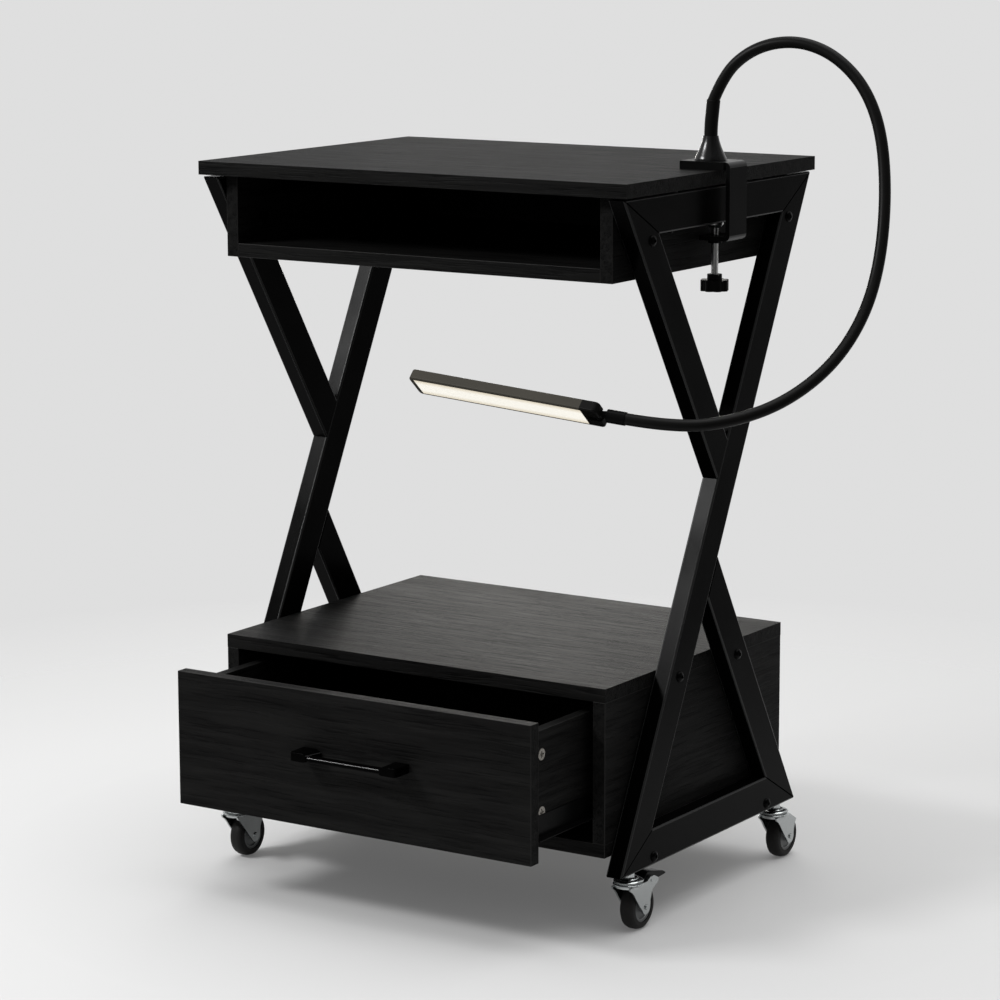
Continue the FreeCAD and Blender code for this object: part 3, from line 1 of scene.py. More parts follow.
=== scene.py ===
# %% [markdown]
# # A rolling hobby workstation
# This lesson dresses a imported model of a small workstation: a tabletop over an open cubby, a
# low cabinet with one drawer, two welded K-shaped side frames, four casters, and a lamp on a
# long gooseneck that is clamped to the table's edge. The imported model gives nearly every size:
# we ask it where a piece is and build the finer one in the same place.

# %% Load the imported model
import json
import math
import bmesh
import bpy
from mathutils import Matrix, Vector


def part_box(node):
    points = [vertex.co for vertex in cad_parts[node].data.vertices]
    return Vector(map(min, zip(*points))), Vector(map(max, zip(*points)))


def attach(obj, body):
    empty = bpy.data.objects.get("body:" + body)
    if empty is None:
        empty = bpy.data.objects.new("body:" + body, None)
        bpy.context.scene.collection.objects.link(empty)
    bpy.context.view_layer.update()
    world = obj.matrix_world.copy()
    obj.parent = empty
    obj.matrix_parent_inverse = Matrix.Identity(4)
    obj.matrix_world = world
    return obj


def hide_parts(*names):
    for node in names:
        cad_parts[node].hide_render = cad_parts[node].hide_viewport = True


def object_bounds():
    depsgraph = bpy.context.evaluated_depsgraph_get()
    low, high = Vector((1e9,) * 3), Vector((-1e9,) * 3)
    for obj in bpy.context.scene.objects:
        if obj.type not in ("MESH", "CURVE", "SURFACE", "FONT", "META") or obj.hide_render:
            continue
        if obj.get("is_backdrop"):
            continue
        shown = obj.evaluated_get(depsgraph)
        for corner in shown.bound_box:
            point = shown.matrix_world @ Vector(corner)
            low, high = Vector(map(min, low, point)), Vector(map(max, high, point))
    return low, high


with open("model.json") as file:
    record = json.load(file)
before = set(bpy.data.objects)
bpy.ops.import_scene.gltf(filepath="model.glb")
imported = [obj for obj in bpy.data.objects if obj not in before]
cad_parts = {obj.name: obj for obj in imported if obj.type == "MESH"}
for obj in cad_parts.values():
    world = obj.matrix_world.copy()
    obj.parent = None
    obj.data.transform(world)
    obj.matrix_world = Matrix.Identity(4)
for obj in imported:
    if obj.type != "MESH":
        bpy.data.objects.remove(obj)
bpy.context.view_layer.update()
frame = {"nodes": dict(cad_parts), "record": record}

scene = bpy.context.scene
nodes = frame["nodes"]
body_of_node = {name: body for body, names in frame["record"]["behaviour"]["bodies"].items()
                for name in names}

# %% [markdown]
# ## The camera
# A long lens from far away keeps upright lines nearly upright and the near corner from
# looking too big. The camera turns about the upright axis, then tips down, then rolls by a hair.

# %% Camera
FOCAL_LENGTH, SENSOR_WIDTH = 123.62, 36.0
EYE = (2.058305, -3.195174, 1.117507)
TURN, TIP, ROLL = math.radians(32.943), math.radians(10.456), math.radians(-0.1409)
lens = bpy.data.cameras.new("camera")
lens.lens = FOCAL_LENGTH
lens.sensor_width = SENSOR_WIDTH
lens.clip_start, lens.clip_end = 0.1, 100.0
camera = bpy.data.objects.new("camera", lens)
camera.matrix_world = (Matrix.Translation(EYE)
                       @ Matrix.Rotation(TURN, 4, "Z")
                       @ Matrix.Rotation(math.pi / 2 - TIP, 4, "X")
                       @ Matrix.Rotation(ROLL, 4, "Z"))
scene.collection.objects.link(camera)
scene.camera = camera
scene.view_settings.view_transform = "Standard"
print("lens:", FOCAL_LENGTH, "mm, turned", round(math.degrees(TURN), 1), "degrees")

# %% [markdown]
# ## A small kit for node trees
# Materials and Geometry Nodes are both trees of nodes. A few helpers keep the building of a
# tree short: one adds a node of any kind and sets or wires its sockets, and the others are
# what we need again and again, such as a noise, a ramp, a blend of two colours and a bump.

# %% Node helpers
def add(tree, kind, settings=None, **sockets):
    """A node of one kind. Settings are its own properties; sockets take a value or a link."""
    made = tree.nodes.new(kind)
    for key, value in (settings or {}).items():
        setattr(made, key, value)
    for key, value in sockets.items():
        name = key.replace("_", " ")
        socket = made.inputs[int(key[1:])] if key[1:].isdigit() else made.inputs[name]
        if isinstance(value, bpy.types.NodeSocket):
            tree.links.new(value, socket)
        else:
            socket.default_value = value
    return made


def maths(tree, operation, *values):
    """One Math node on numbers or links."""
    sockets = {"i%d" % index: value for index, value in enumerate(values)}
    return add(tree, "ShaderNodeMath", {"operation": operation}, **sockets).outputs[0]


def new_finish(name, colour, roughness, **sockets):
    """A material with one Principled shader; returns the material, its tree and the shader."""
    made = bpy.data.materials.new(name)
    made.use_nodes = True
    tree = made.node_tree
    shader = tree.nodes["Principled BSDF"]
    shader.inputs["Base Color"].default_value = (*colour, 1.0)
    shader.inputs["Roughness"].default_value = roughness
    for key, value in sockets.items():
        shader.inputs[key.replace("_", " ")].default_value = value
    return made, tree, shader


def object_place(tree, scale=(1, 1, 1)):
    """Object coordinates through a Mapping node, in metres."""
    place = add(tree, "ShaderNodeTexCoord").outputs["Object"]
    return add(tree, "ShaderNodeMapping", Vector=place, Scale=scale).outputs["Vector"]


def noise(tree, place, scale, detail=2.0):
    """Noise with so many cells to the metre."""
    return add(tree, "ShaderNodeTexNoise", Vector=place, Scale=scale, Detail=detail).outputs


def ramp(tree, value, low, high, to_low=0.0, to_high=1.0):
    """A clamped linear ramp of one value."""
    made = add(tree, "ShaderNodeMapRange", Value=value)
    for socket, number in zip(("From Min", "From Max", "To Min", "To Max"),
                              (low, high, to_low, to_high)):
        made.inputs[socket].default_value = number
    return made.outputs["Result"]


def colour_mix(tree, amount, first, second):
    """A blend of two colours by a value; each is three numbers or a link."""
    first, second = (end if isinstance(end, bpy.types.NodeSocket) else (*end, 1.0)
                     for end in (first, second))
    return add(tree, "ShaderNodeMix", {"data_type": "RGBA"}, i0=amount, i6=first,
               i7=second).outputs[2]


def drift(tree, shader, amount, colour, darker, lighter=1.0):
    """Let the base colour wander between two shades of one colour."""
    tone = colour_mix(tree, amount, [part * darker for part in colour],
                      [part * lighter for part in colour])
    tree.links.new(tone, shader.inputs["Base Color"])


def bump(tree, shader, height, strength, distance):
    """A bump from a height value into the shader's normal."""
    made = add(tree, "ShaderNodeBump", Height=height, Strength=strength, Distance=distance)
    tree.links.new(made.outputs["Normal"], shader.inputs["Normal"])


print("a kit of node helpers, sizes in metres")

# %% [markdown]
# ## Black laminate with an embossed grain
# The boards are chipboard under a black printed foil. The foil is pressed with a wood grain:
# short fine pores along one direction, with wider soft figure between them, and almost no
# colour. So the grain lives in the bump and in the roughness, and the colour drifts only a
# little. Noise that is stretched along one axis gives both, and the axis is a choice for each
# board, because foil is laid along a board's length.

# %% Laminate
FOIL_DARK, FOIL_LIGHT = (0.0022, 0.0022, 0.0022), (0.0104, 0.0103, 0.0100)
PORE_DEPTH, FIGURE_DEPTH = -1.0, 0.25
WANDER = (0.010, 0.010, 0.010)


def stretched(tree, place, along, fine, coarse, detail=3.0):
    """Noise drawn out along one axis: fine across it and coarse along it, per metre."""
    scale = [fine, fine, fine]
    scale["XYZ".index(along)] = coarse
    laid = add(tree, "ShaderNodeMapping", Vector=place, Scale=scale)
    return add(tree, "ShaderNodeTexNoise", Vector=laid.outputs["Vector"], Scale=1.0,
               Detail=detail, Roughness=0.6).outputs["Fac"]


def laminate(name, along):
    """Black wood-grain foil whose grain runs along X, Y or Z."""
    made, tree, shader = new_finish(name, (0.006, 0.006, 0.006), 0.55,
                                    Specular_IOR_Level=0.05)
    wave = noise(tree, object_place(tree), 6.0)["Color"]
    place = add(tree, "ShaderNodeVectorMath", {"operation": "MULTIPLY_ADD"}, i0=wave,
                i1=WANDER, i2=object_place(tree)).outputs["Vector"]
    pores = ramp(tree, stretched(tree, place, along, 420.0, 14.0), 0.50, 0.62)
    figure = ramp(tree, stretched(tree, place, along, 130.0, 7.0, 4.0), 0.34, 0.68)
    dash = maths(tree, "SUBTRACT", figure, maths(tree, "MULTIPLY", pores, 0.7))
    tone = colour_mix(tree, ramp(tree, dash, -0.5, 1.0), FOIL_DARK, FOIL_LIGHT)
    tree.links.new(tone, shader.inputs["Base Color"])
    tree.links.new(ramp(tree, figure, 0.0, 1.0, 0.58, 0.52), shader.inputs["Roughness"])
    height = maths(tree, "MULTIPLY_ADD", pores, PORE_DEPTH,
                   ramp(tree, figure, 0.0, 1.0, 0.0, FIGURE_DEPTH))
    bump(tree, shader, height, 0.75, 0.0004)
    return made


board_across = laminate("black_laminate_across", "X")
board_deep = laminate("black_laminate_deep", "Y")
print("two laminates, one for each direction of the grain")

# %% [markdown]
# ## Painted and plated metal
# The frames are powder coated: a thick satin paint with a faint orange-peel skin, a little
# glossier where it has flowed thin. One noise gives the skin, as bump, and a wider one lets
# colour and gloss drift, because even paint is never one flat value. The clamp, the handle and
# the lamp head are painted smoother. The casters are plated and the clamp screw is turned
# steel, and both show faint patches.

# %% Metal finishes
SKIN_CELLS, SKIN_HIGH = 900.0, 0.0003
TURNING_MARKS = (60, 60, 2500)


def powder_coat(name, colour, roughness, peel, spec):
    """Satin paint with an orange-peel skin; peel is the strength of the skin."""
    made, tree, shader = new_finish(name, colour, roughness, Specular_IOR_Level=spec)
    skin = noise(tree, object_place(tree), SKIN_CELLS)["Fac"]
    flow = noise(tree, object_place(tree), 14.0, 3.0)["Fac"]
    drift(tree, shader, flow, colour, 0.8, 1.2)
    tree.links.new(ramp(tree, flow, 0.3, 0.7, roughness - 0.04, roughness + 0.05),
                   shader.inputs["Roughness"])
    bump(tree, shader, skin, peel, SKIN_HIGH)
    return made


def plated(name, colour, roughness, brushed=0.0):
    """Bare or plated metal with a slightly uneven shine; brushed adds fine turning marks."""
    made, tree, shader = new_finish(name, colour, roughness, Metallic=1.0)
    patch = noise(tree, object_place(tree), 120.0, 4.0)["Fac"]
    tree.links.new(ramp(tree, patch, 0.3, 0.7, roughness * 0.75, roughness * 1.35),
                   shader.inputs["Roughness"])
    drift(tree, shader, patch, colour, 0.82)
    grain = noise(tree, object_place(tree, TURNING_MARKS), 1.0)["Fac"]
    bump(tree, shader, grain, 0.05 + brushed, 0.0002)
    return made


frame_paint = powder_coat("black_powder_coat", (0.0008, 0.0008, 0.0008), 0.22, 0.08, 0.028)
# The edge finish is far lighter than the frame paint: a painted highlight for the rounded
# corners and edges of tubes and clamp.
edge_highlight_paint = powder_coat("painted_edge_highlight", (0.0160, 0.0160, 0.0160), 0.30, 0.02, 0.20)
seam_paint = powder_coat("dark_seam", (0.0004, 0.0004, 0.0004), 0.80, 0.02, 0.0)
# The foil's edge finish is lighter than the foil: a painted highlight on the boards' eased
# edges.
foil_edge_highlight = powder_coat("foil_edge_highlight", (0.0170, 0.0165, 0.0160), 0.45, 0.05, 0.12)
clamp_paint = powder_coat("black_clamp_paint", (0.0045, 0.0045, 0.0046), 0.30, 0.05, 0.03)
bolt_paint = powder_coat("black_oxide", (0.0006, 0.0006, 0.0006), 0.24, 0.02, 0.05)
handle_paint = powder_coat("black_handle", (0.0005, 0.0005, 0.0005), 0.26, 0.02, 0.02)
# The glint finish is far lighter than the handle's paint: a painted highlight.
glint_paint = powder_coat("handle_glint", (0.0350, 0.0350, 0.0350), 0.22, 0.01, 0.40)
runner_paint = powder_coat("black_runner", (0.0025, 0.0025, 0.0026), 0.33, 0.02, 0.05)
zinc = plated("bright_zinc", (0.50, 0.52, 0.52), 0.20)
steel = plated("turned_steel", (0.78, 0.78, 0.77), 0.28, 0.06)
cam_metal = plated("cam_zinc", (0.36, 0.34, 0.31), 0.38)
print("paints and metals: frame, edges, clamp, bolts, handle, runners, zinc and steel")

# %% [markdown]
# ## Rubber and plastic
# Small moulded pieces need little: a colour that drifts, a shine and a skin. Tyres and raw
# board are the dullest and the lamp's bell the glossiest.

# %% Plastic and rubber
def moulded(name, colour, roughness, grain=0.10, scale=1400.0, spec=0.3):
    """Moulded plastic or rubber with a fine skin."""
    made, tree, shader = new_finish(name, colour, roughness, Specular_IOR_Level=spec)
    skin = noise(tree, object_place(tree), scale)["Fac"]
    cloud = noise(tree, object_place(tree), 60.0)["Fac"]
    drift(tree, shader, cloud, colour, 0.85, 1.15)
    bump(tree, shader, skin, grain, SKIN_HIGH)
    return made


tyre_rubber = moulded("tyre_rubber", (0.0090, 0.0085, 0.0080), 0.60, 0.14, 900.0, 0.20)
hub_plastic = moulded("grey_hub", (0.13, 0.135, 0.135), 0.42)
hub_ring = moulded("light_hub_ring", (0.42, 0.43, 0.43), 0.40)
pedal_plastic = moulded("black_pedal", (0.0025, 0.0025, 0.0025), 0.34, 0.06, 1400.0, 0.10)
knob_plastic = moulded("black_knob", (0.0028, 0.0028, 0.0028), 0.34, 0.06, 1400.0, 0.06)
neck_rubber = moulded("neck_silicone", (0.0060, 0.0059, 0.0057), 0.40, 0.05, 700.0, 0.09)
bell_gloss = moulded("gloss_bell", (0.0030, 0.0030, 0.0031), 0.24, 0.0, 1400.0, 0.45)
nylon = moulded("white_nylon", (0.62, 0.62, 0.59), 0.38)
washer_plastic = moulded("black_washer", (0.006, 0.006, 0.006), 0.45)
raw_board = moulded("dark_hardboard", (0.0060, 0.0057, 0.0054), 0.62, 0.25, 900.0, 0.10)
print("plastics and rubbers: tyre, hub, pedal, knob, neck, bell, rollers, washers, backs")

# %% [markdown]
# ## The lamp head's light and shade
# The head lies at a slant, so its finishes are laid out along its own axes: a dot product
# says how far a point lies from the hinge along the head, or from the panel's middle across
# it. That places a dark hinge end, a seam and a dark tip on one housing without cutting it up.
# The panel is milky plastic over a row of warm diodes: it glows evenly along its length and
# falls off towards its long rims.

# %% Lamp head finishes
HINGE = Vector((0.270, -0.250, 0.570))
ALONG = Vector((-0.997314, 0.0, 0.073238))
ACROSS_HEAD = Vector((-0.046015, 0.777973, -0.626611))
PANEL_HALF_WIDTH = 0.0135
# Metres from the hinge along the head: dark at the first number, grey at the second.
NECK_END = (0.0144, 0.0146)
FAR_TIP = (0.2250, 0.2225)
SEAM_AT, SEAM_HALF_WIDTH = 0.0148, (0.0003, 0.0006)
END_CAP_TONE = (0.0055, 0.0053, 0.0050)


def head_axis(tree, axis, start=HINGE):
    """How far a point lies from a place along one of the lamp head's own axes, in metres."""
    place = add(tree, "ShaderNodeTexCoord").outputs["Object"]
    offset = add(tree, "ShaderNodeVectorMath", {"operation": "SUBTRACT"}, i0=place,
                 i1=tuple(start))
    return add(tree, "ShaderNodeVectorMath", {"operation": "DOT_PRODUCT"},
               i0=offset.outputs["Vector"], i1=tuple(axis)).outputs["Value"]


def glowing_panel(middle, half_width):
    """Milky panel that gives off warm white light, warmer and dimmer towards its long rims."""
    made, tree, shader = new_finish("lit_diffuser", (0.60, 0.57, 0.50), 0.45)
    off = maths(tree, "ABSOLUTE", head_axis(tree, ACROSS_HEAD, middle))
    rim = ramp(tree, off, half_width * 0.45, half_width)
    tree.links.new(colour_mix(tree, rim, (1.0, 0.975, 0.90), (1.0, 0.88, 0.66)),
                   shader.inputs["Emission Color"])
    tree.links.new(ramp(tree, rim, 0.0, 1.0, 0.74, 0.50), shader.inputs["Emission Strength"])
    return made


def head_paint():
    """Satin grey housing with a darker hinge end, a seam before it and a darker far tip."""
    made = powder_coat("lamp_housing", (0.0560, 0.0520, 0.0430), 0.40, 0.05, 0.06)
    tree = made.node_tree
    shader = tree.nodes["Principled BSDF"]
    way = head_axis(tree, ALONG)
    near, far = ramp(tree, way, *NECK_END), ramp(tree, way, *FAR_TIP)
    off = maths(tree, "ABSOLUTE", maths(tree, "SUBTRACT", way, SEAM_AT))
    seam = ramp(tree, off, *SEAM_HALF_WIDTH)
    grey = maths(tree, "MULTIPLY", maths(tree, "MULTIPLY", near, far), seam)
    plain = shader.inputs["Base Color"].links[0].from_socket
    tree.links.new(colour_mix(tree, grey, END_CAP_TONE, plain), shader.inputs["Base Color"])
    return made


low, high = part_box("lamp_diffuser")
panel_light = glowing_panel((Vector(low) + Vector(high)) / 2, PANEL_HALF_WIDTH)
head_finish = head_paint()
print("materials, the packed model's own among them:", len(bpy.data.materials))

# %% [markdown]
# ## Eased edges
# No real edge is perfectly sharp. A small rounding is what catches the light and tells the
# eye that a board is a board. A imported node's mesh is loose triangles, so we copy it, merge
# its doubles, melt the triangles of each flat face into one, and bevel what is still sharp.

# %% Copy a node and ease its edges
WELD = 1e-6


def copy_of(node, name):
    """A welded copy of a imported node's mesh, with flat faces whole again."""
    mesh = nodes[node].data.copy()
    mesh.name = name
    work = bmesh.new()
    work.from_mesh(mesh)
    bmesh.ops.remove_doubles(work, verts=work.verts, dist=WELD)
    bmesh.ops.dissolve_limit(work, angle_limit=math.radians(0.5), verts=work.verts,
                             edges=work.edges)
    work.to_mesh(mesh)
    work.free()
    mesh.materials.clear()
    made = bpy.data.objects.new(name, mesh)
    scene.collection.objects.link(made)
    return made


def apply_modifiers(piece):
    """Turn a piece with live modifiers into plain mesh; a curve becomes a new object."""
    view = bpy.context.evaluated_depsgraph_get()
    view.update()
    mesh = bpy.data.meshes.new_from_object(piece.evaluated_get(view))
    piece.modifiers.clear()
    if piece.type == "MESH":
        piece.data = mesh
        return piece
    name = piece.name
    bpy.data.objects.remove(piece)
    made = bpy.data.objects.new(name, mesh)
    scene.collection.objects.link(made)
    return made


def shade(piece, angle=32.0):
    """Smooth shading that stays crisp across sharp edges and flat across wide faces."""
    piece.data.shade_smooth()
    piece.data.set_sharp_from_angle(angle=math.radians(angle))
    weigh = piece.modifiers.new("weigh", "WEIGHTED_NORMAL")
    weigh.keep_sharp = True
    weigh.weight = 100
    return apply_modifiers(piece)


STRIP_WIDE, STRIP_LONG = 0.0016, 0.02


def edge_finish(piece, finish):
    """Give the narrow strips of a piece, its rounded edges, a finish of their own.

    A strip is narrow itself, and so is all that faces the way it does: a flat side that a
    hole splits into slivers stays as it is.
    """
    piece.data.materials.append(finish)
    faces = piece.data.polygons
    ways = [tuple(round(part, 2) for part in face.normal) for face in faces]
    facing = dict.fromkeys(ways, 0.0)
    for face, way in zip(faces, ways):
        facing[way] += face.area
    most = 2.0 * STRIP_WIDE * max(piece.dimensions)
    for face, way in zip(faces, ways):
        corners = [piece.data.vertices[index].co for index in face.vertices]
        longest = max((a - b).length for a, b in zip(corners, corners[1:] + corners[:1]))
        narrow = face.area < longest * STRIP_WIDE and longest > STRIP_LONG
        if narrow and facing[way] < most:
            face.material_index = 1


def eased(node, finish, width=0.0, segments=2, angle=40.0, smooth=32.0, edge=None, rim=None,
          clamp=True):
    """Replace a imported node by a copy, with its sharp edges eased by a width in metres.

    The finish edge goes on strips that are rounded already, and rim on the new bevels.
    """
    piece = copy_of(node, "fine_" + node)
    piece.data.materials.append(finish)
    if edge:
        edge_finish(piece, edge)
    if width:
        bevel = piece.modifiers.new("ease", "BEVEL")
        bevel.width = width
        bevel.segments = segments
        bevel.limit_method = "ANGLE"
        bevel.angle_limit = math.radians(angle)
        bevel.use_clamp_overlap = clamp
        if rim:
            piece.data.materials.append(rim)
            bevel.material = len(piece.data.materials) - 1
        apply_modifiers(piece)
    shade(piece, smooth)
    settle(piece, node)
    return piece


def settle(piece, *stands_for, slot=None):
    """Fit a piece into the model: its body and the nodes it stands for. The slot argument is not
    used.
    """
    first = stands_for[0]
    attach(piece, body_of_node[first])
    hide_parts(*stands_for)


print("edges can be eased now; corners closer than", WELD, "m are welded")

# %% [markdown]
# ## Boards
# Each board is one flat blank. The foil wraps its edges with a tiny radius, so a bevel of
# about half a millimetre eases them, and the bevel's lighter finish is a painted highlight: the
# bright hairline that parts two dark faces. The backs and the drawer's floor are thin raw
# board, whose cut edges are sharper.

# %% Boards
ACROSS = ["tabletop", "cubby_floor", "cabinet_top", "cabinet_floor", "drawer_front",
          "drawer_back"]
DEEP = ["cubby_left_side", "cubby_right_side", "cabinet_left_side", "cabinet_right_side",
        "drawer_left_side", "drawer_right_side"]
THIN = ["cubby_back", "cabinet_back", "drawer_floor"]
FOIL_RADIUS, CUT_RADIUS = 0.0006, 0.0003
for name in ACROSS:
    eased(name, board_across, FOIL_RADIUS, rim=foil_edge_highlight)
for name in DEEP:
    eased(name, board_deep, FOIL_RADIUS, rim=foil_edge_highlight)
for name in THIN:
    eased(name, raw_board, CUT_RADIUS)
print("boards:", len(ACROSS) + len(DEEP) + len(THIN))

# %% [markdown]
# ## Welded frames
# The tubes come from the imported model with their rolled corners. Their long rounded corners
# need smooth shading and their wide sides must stay flat, which is what weighted normals do:
# each corner vertex leans towards the bigger face beside it. The narrow strips of the rolled
# corners get a lighter, glossier finish, a painted highlight along each corner. The mitres get
# a dark hairline, from a small bevel on the sharp edges of the tubes' ends. It isn't clamped,
# because a clamped bevel shrinks with the smallest edge beside it and the hairline is lost.

# %% Frames
TUBES = [hand + "_" + tube for hand in ("left", "right")
         for tube in ("top_rail", "bottom_rail", "diagonal", "upper_strut", "lower_strut")]
for name in TUBES:
    eased(name, frame_paint, 0.0007, 1, 50.0, 40.0, edge=edge_highlight_paint, rim=seam_paint,
          clamp=False)
eased("cabinet_bearers", frame_paint, smooth=40.0)
print("tubes:", len(TUBES))

# %% [markdown]
# ## A kit for Geometry Nodes
# Screws, a thread and a long bent tube all follow a rule, so each is a Geometry Nodes tree.
# A tree has a named input for every size and one for its finish. It ends by making its
# instances real and setting the finish. We run it on a small mesh that says where its
# copies go, keep the result as plain mesh, and the modifier is gone.

# %% Geometry Nodes helpers
def new_rule(name, **sizes):
    """A Geometry Nodes tree with a named input for each size, and its way in and out."""
    tree = bpy.data.node_groups.new(name, "GeometryNodeTree")
    tree.interface.new_socket("Geometry", in_out="INPUT", socket_type="NodeSocketGeometry")
    tree.interface.new_socket("Geometry", in_out="OUTPUT", socket_type="NodeSocketGeometry")
    for label, value in sizes.items():
        kind = "NodeSocketInt" if isinstance(value, int) else "NodeSocketFloat"
        socket = tree.interface.new_socket(label, in_out="INPUT", socket_type=kind)
        socket.default_value = value
    tree.interface.new_socket("finish", in_out="INPUT", socket_type="NodeSocketMaterial")
    return tree, tree.nodes.new("NodeGroupInput"), tree.nodes.new("NodeGroupOutput")


def close_rule(tree, given, result, geometry):
    """End a tree with real mesh that wears its finish."""
    real = add(tree, "GeometryNodeRealizeInstances", Geometry=geometry)
    worn = add(tree, "GeometryNodeSetMaterial", Geometry=real.outputs[0],
               Material=given.outputs["finish"])
    tree.links.new(worn.outputs[0], result.inputs[0])


def grow(piece, tree, finish, **sizes):
    """Run a tree on a piece, its inputs set by identifier, and keep the plain mesh."""
    rule = piece.modifiers.new(tree.name, "NODES")
    rule.node_group = tree
    for item in tree.interface.items_tree:
        if item.item_type == "SOCKET" and item.in_out == "INPUT" and item.name in sizes:
            rule[item.identifier] = sizes[item.name]
        if item.item_type == "SOCKET" and item.in_out == "INPUT" and item.name == "finish":
            rule[item.identifier] = finish
    return apply_modifiers(piece)


def moved(tree, geometry, up=0.0, scale=(1, 1, 1)):
    """Geometry scaled, and shifted up."""
    place = add(tree, "ShaderNodeCombineXYZ", Z=up)
    return add(tree, "GeometryNodeTransform", Geometry=geometry, Translation=place.outputs[0],
               Scale=scale).outputs[0]


def joined(tree, *parts):
    """Several geometries as one."""
    made = add(tree, "GeometryNodeJoinGeometry")
    for part in reversed(parts):
        tree.links.new(part, made.inputs[0])
    return made.outputs[0]


def points_piece(name, places, ways=None):
    """Loose points, each with the way that its copy looks."""
    mesh = bpy.data.meshes.new(name)
    mesh.from_pydata([tuple(place) for place in places], [], [])
    if ways:
        store = mesh.attributes.new("way", "FLOAT_VECTOR", "POINT")
        for index, way in enumerate(ways):
            store.data[index].vector = way
    made = bpy.data.objects.new(name, mesh)
    scene.collection.objects.link(made)
    return made


def islands(node):
    """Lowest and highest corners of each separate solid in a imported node."""
    work = bmesh.new()
    work.from_mesh(nodes[node].data)
    bmesh.ops.remove_doubles(work, verts=work.verts, dist=WELD)
    seen, boxes = set(), []
    for start in work.verts:
        if start in seen:
            continue
        seen.add(start)
        solid = [start]
        for vert in solid:
            for edge in vert.link_edges:
                other = edge.other_vert(vert)
                if other not in seen:
                    seen.add(other)
                    solid.append(other)
        corners = list(zip(*(vert.co for vert in solid)))
        boxes.append((Vector(map(min, corners)), Vector(map(max, corners))))
    work.free()
    return boxes


print("solids in frame_bolts:", len(islands("frame_bolts")))

# %% [markdown]
# ## Button-head screws
# The frames are held to the boxes by button-head screws: a low dome with a hexagon socket.
# The dome is a flattened ball, the socket a six-sided prism cut out of it by a boolean, and
# the shank a plain rod. The screws point outwards on both sides, so every point carries a
# direction and the instances are turned to look along it.

# %% Screws
HEAD_HIGH = 0.0033
# A solid that is longer than this along X is a bolt; the others are nuts and wood screws.
SHORTEST_SCREW = 0.012


def button_screw_rule():
    """Dome, socket and shank on each point, looking along the point's way."""
    tree, given, result = new_rule("button_screws", head_radius=0.006, head_high=HEAD_HIGH,
                                   socket_radius=0.0023, socket_deep=0.002,
                                   shank_radius=0.003, shank_long=0.03)
    size = given.outputs
    ball = add(tree, "GeometryNodeMeshUVSphere", Segments=32, Rings=16, Radius=1.0)
    scale = add(tree, "ShaderNodeCombineXYZ", X=size["head_radius"], Y=size["head_radius"],
                Z=size["head_high"])
    dome = moved(tree, ball.outputs["Mesh"], scale=scale.outputs[0])
    block = add(tree, "GeometryNodeMeshCube")
    below = moved(tree, block.outputs["Mesh"], -0.5, (0.1, 0.1, 1.0))
    prism = add(tree, "GeometryNodeMeshCylinder", Vertices=6, Radius=size["socket_radius"],
                Depth=0.02)
    drop = maths(tree, "SUBTRACT", size["head_high"], size["socket_deep"])
    socket = moved(tree, prism.outputs["Mesh"], maths(tree, "ADD", drop, 0.01))
    head = add(tree, "GeometryNodeMeshBoolean", {"operation": "DIFFERENCE"})
    tree.links.new(dome, head.inputs["Mesh 1"])
    for tool in (below, socket):
        tree.links.new(tool, head.inputs["Mesh 2"])
    rod = add(tree, "GeometryNodeMeshCylinder", Vertices=16, Radius=size["shank_radius"],
              Depth=size["shank_long"])
    back = maths(tree, "MULTIPLY", size["shank_long"], -0.5)
    shank = moved(tree, rod.outputs["Mesh"], back)
    way = add(tree, "GeometryNodeInputNamedAttribute", {"data_type": "FLOAT_VECTOR"},
              Name="way")
    facing = add(tree, "FunctionNodeAlignRotationToVector", {"axis": "Z"},
                 Vector=way.outputs["Attribute"])
    copies = add(tree, "GeometryNodeInstanceOnPoints", Points=given.outputs[0],
                 Instance=joined(tree, head.outputs["Mesh"], shank),
                 Rotation=facing.outputs["Rotation"])
    close_rule(tree, given, result, copies.outputs["Instances"])
    return tree


screw_rule = button_screw_rule()
kept, heads = [], {}
for low, high in islands("frame_bolts"):
    if high.x - low.x > SHORTEST_SCREW:
        side = 1.0 if low.x > 0 else -1.0
        length = round(high.x - low.x - HEAD_HIGH, 4)
        seat = (high.x if side > 0 else low.x) - side * HEAD_HIGH
        place = Vector((seat, (low.y + high.y) / 2, (low.z + high.z) / 2))
        heads.setdefault(length, []).append((place, side))
    else:
        kept.append((low, high))
for length, found in heads.items():
    piece = points_piece("button_screws_%d" % round(length * 1000),
                         [place for place, side in found],
                         [(side, 0.0, 0.0) for place, side in found])
    grow(piece, screw_rule, bolt_paint, shank_long=length)
    shade(piece, 30.0)
    settle(piece, "frame_bolts")
print("button screws:", sum(len(found) for found in heads.values()), "nuts and others:",
      len(kept))

# %% [markdown]
# ## Nuts, wood screws and washers
# The nuts on the inner ends of the screws and the tabletop's hidden wood screws are in the same
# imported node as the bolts. They are right as they are, so we copy the node and drop every
# vertex that isn't inside one of their boxes. The washers part frame and board by a shadow.

# %% Nuts and wood screws
SLACK = 1e-5


def only_islands(node, boxes, name, finish):
    """A copy of the solids of a node that lie in the given boxes."""
    piece = copy_of(node, name)
    work = bmesh.new()
    work.from_mesh(piece.data)
    lost = [vert for vert in work.verts
            if not any(all(low[k] - SLACK <= vert.co[k] <= high[k] + SLACK
                           for k in range(3)) for low, high in boxes)]
    bmesh.ops.delete(work, geom=lost, context="VERTS")
    work.to_mesh(piece.data)
    work.free()
    shade(piece)
    piece.data.materials.append(finish)
    settle(piece, node)
    return piece


nuts = only_islands("frame_bolts", kept, "nuts_and_wood_screws", bolt_paint)
eased("spacer_washers", washer_plastic, smooth=30.0)
print("faces kept:", len(nuts.data.polygons))

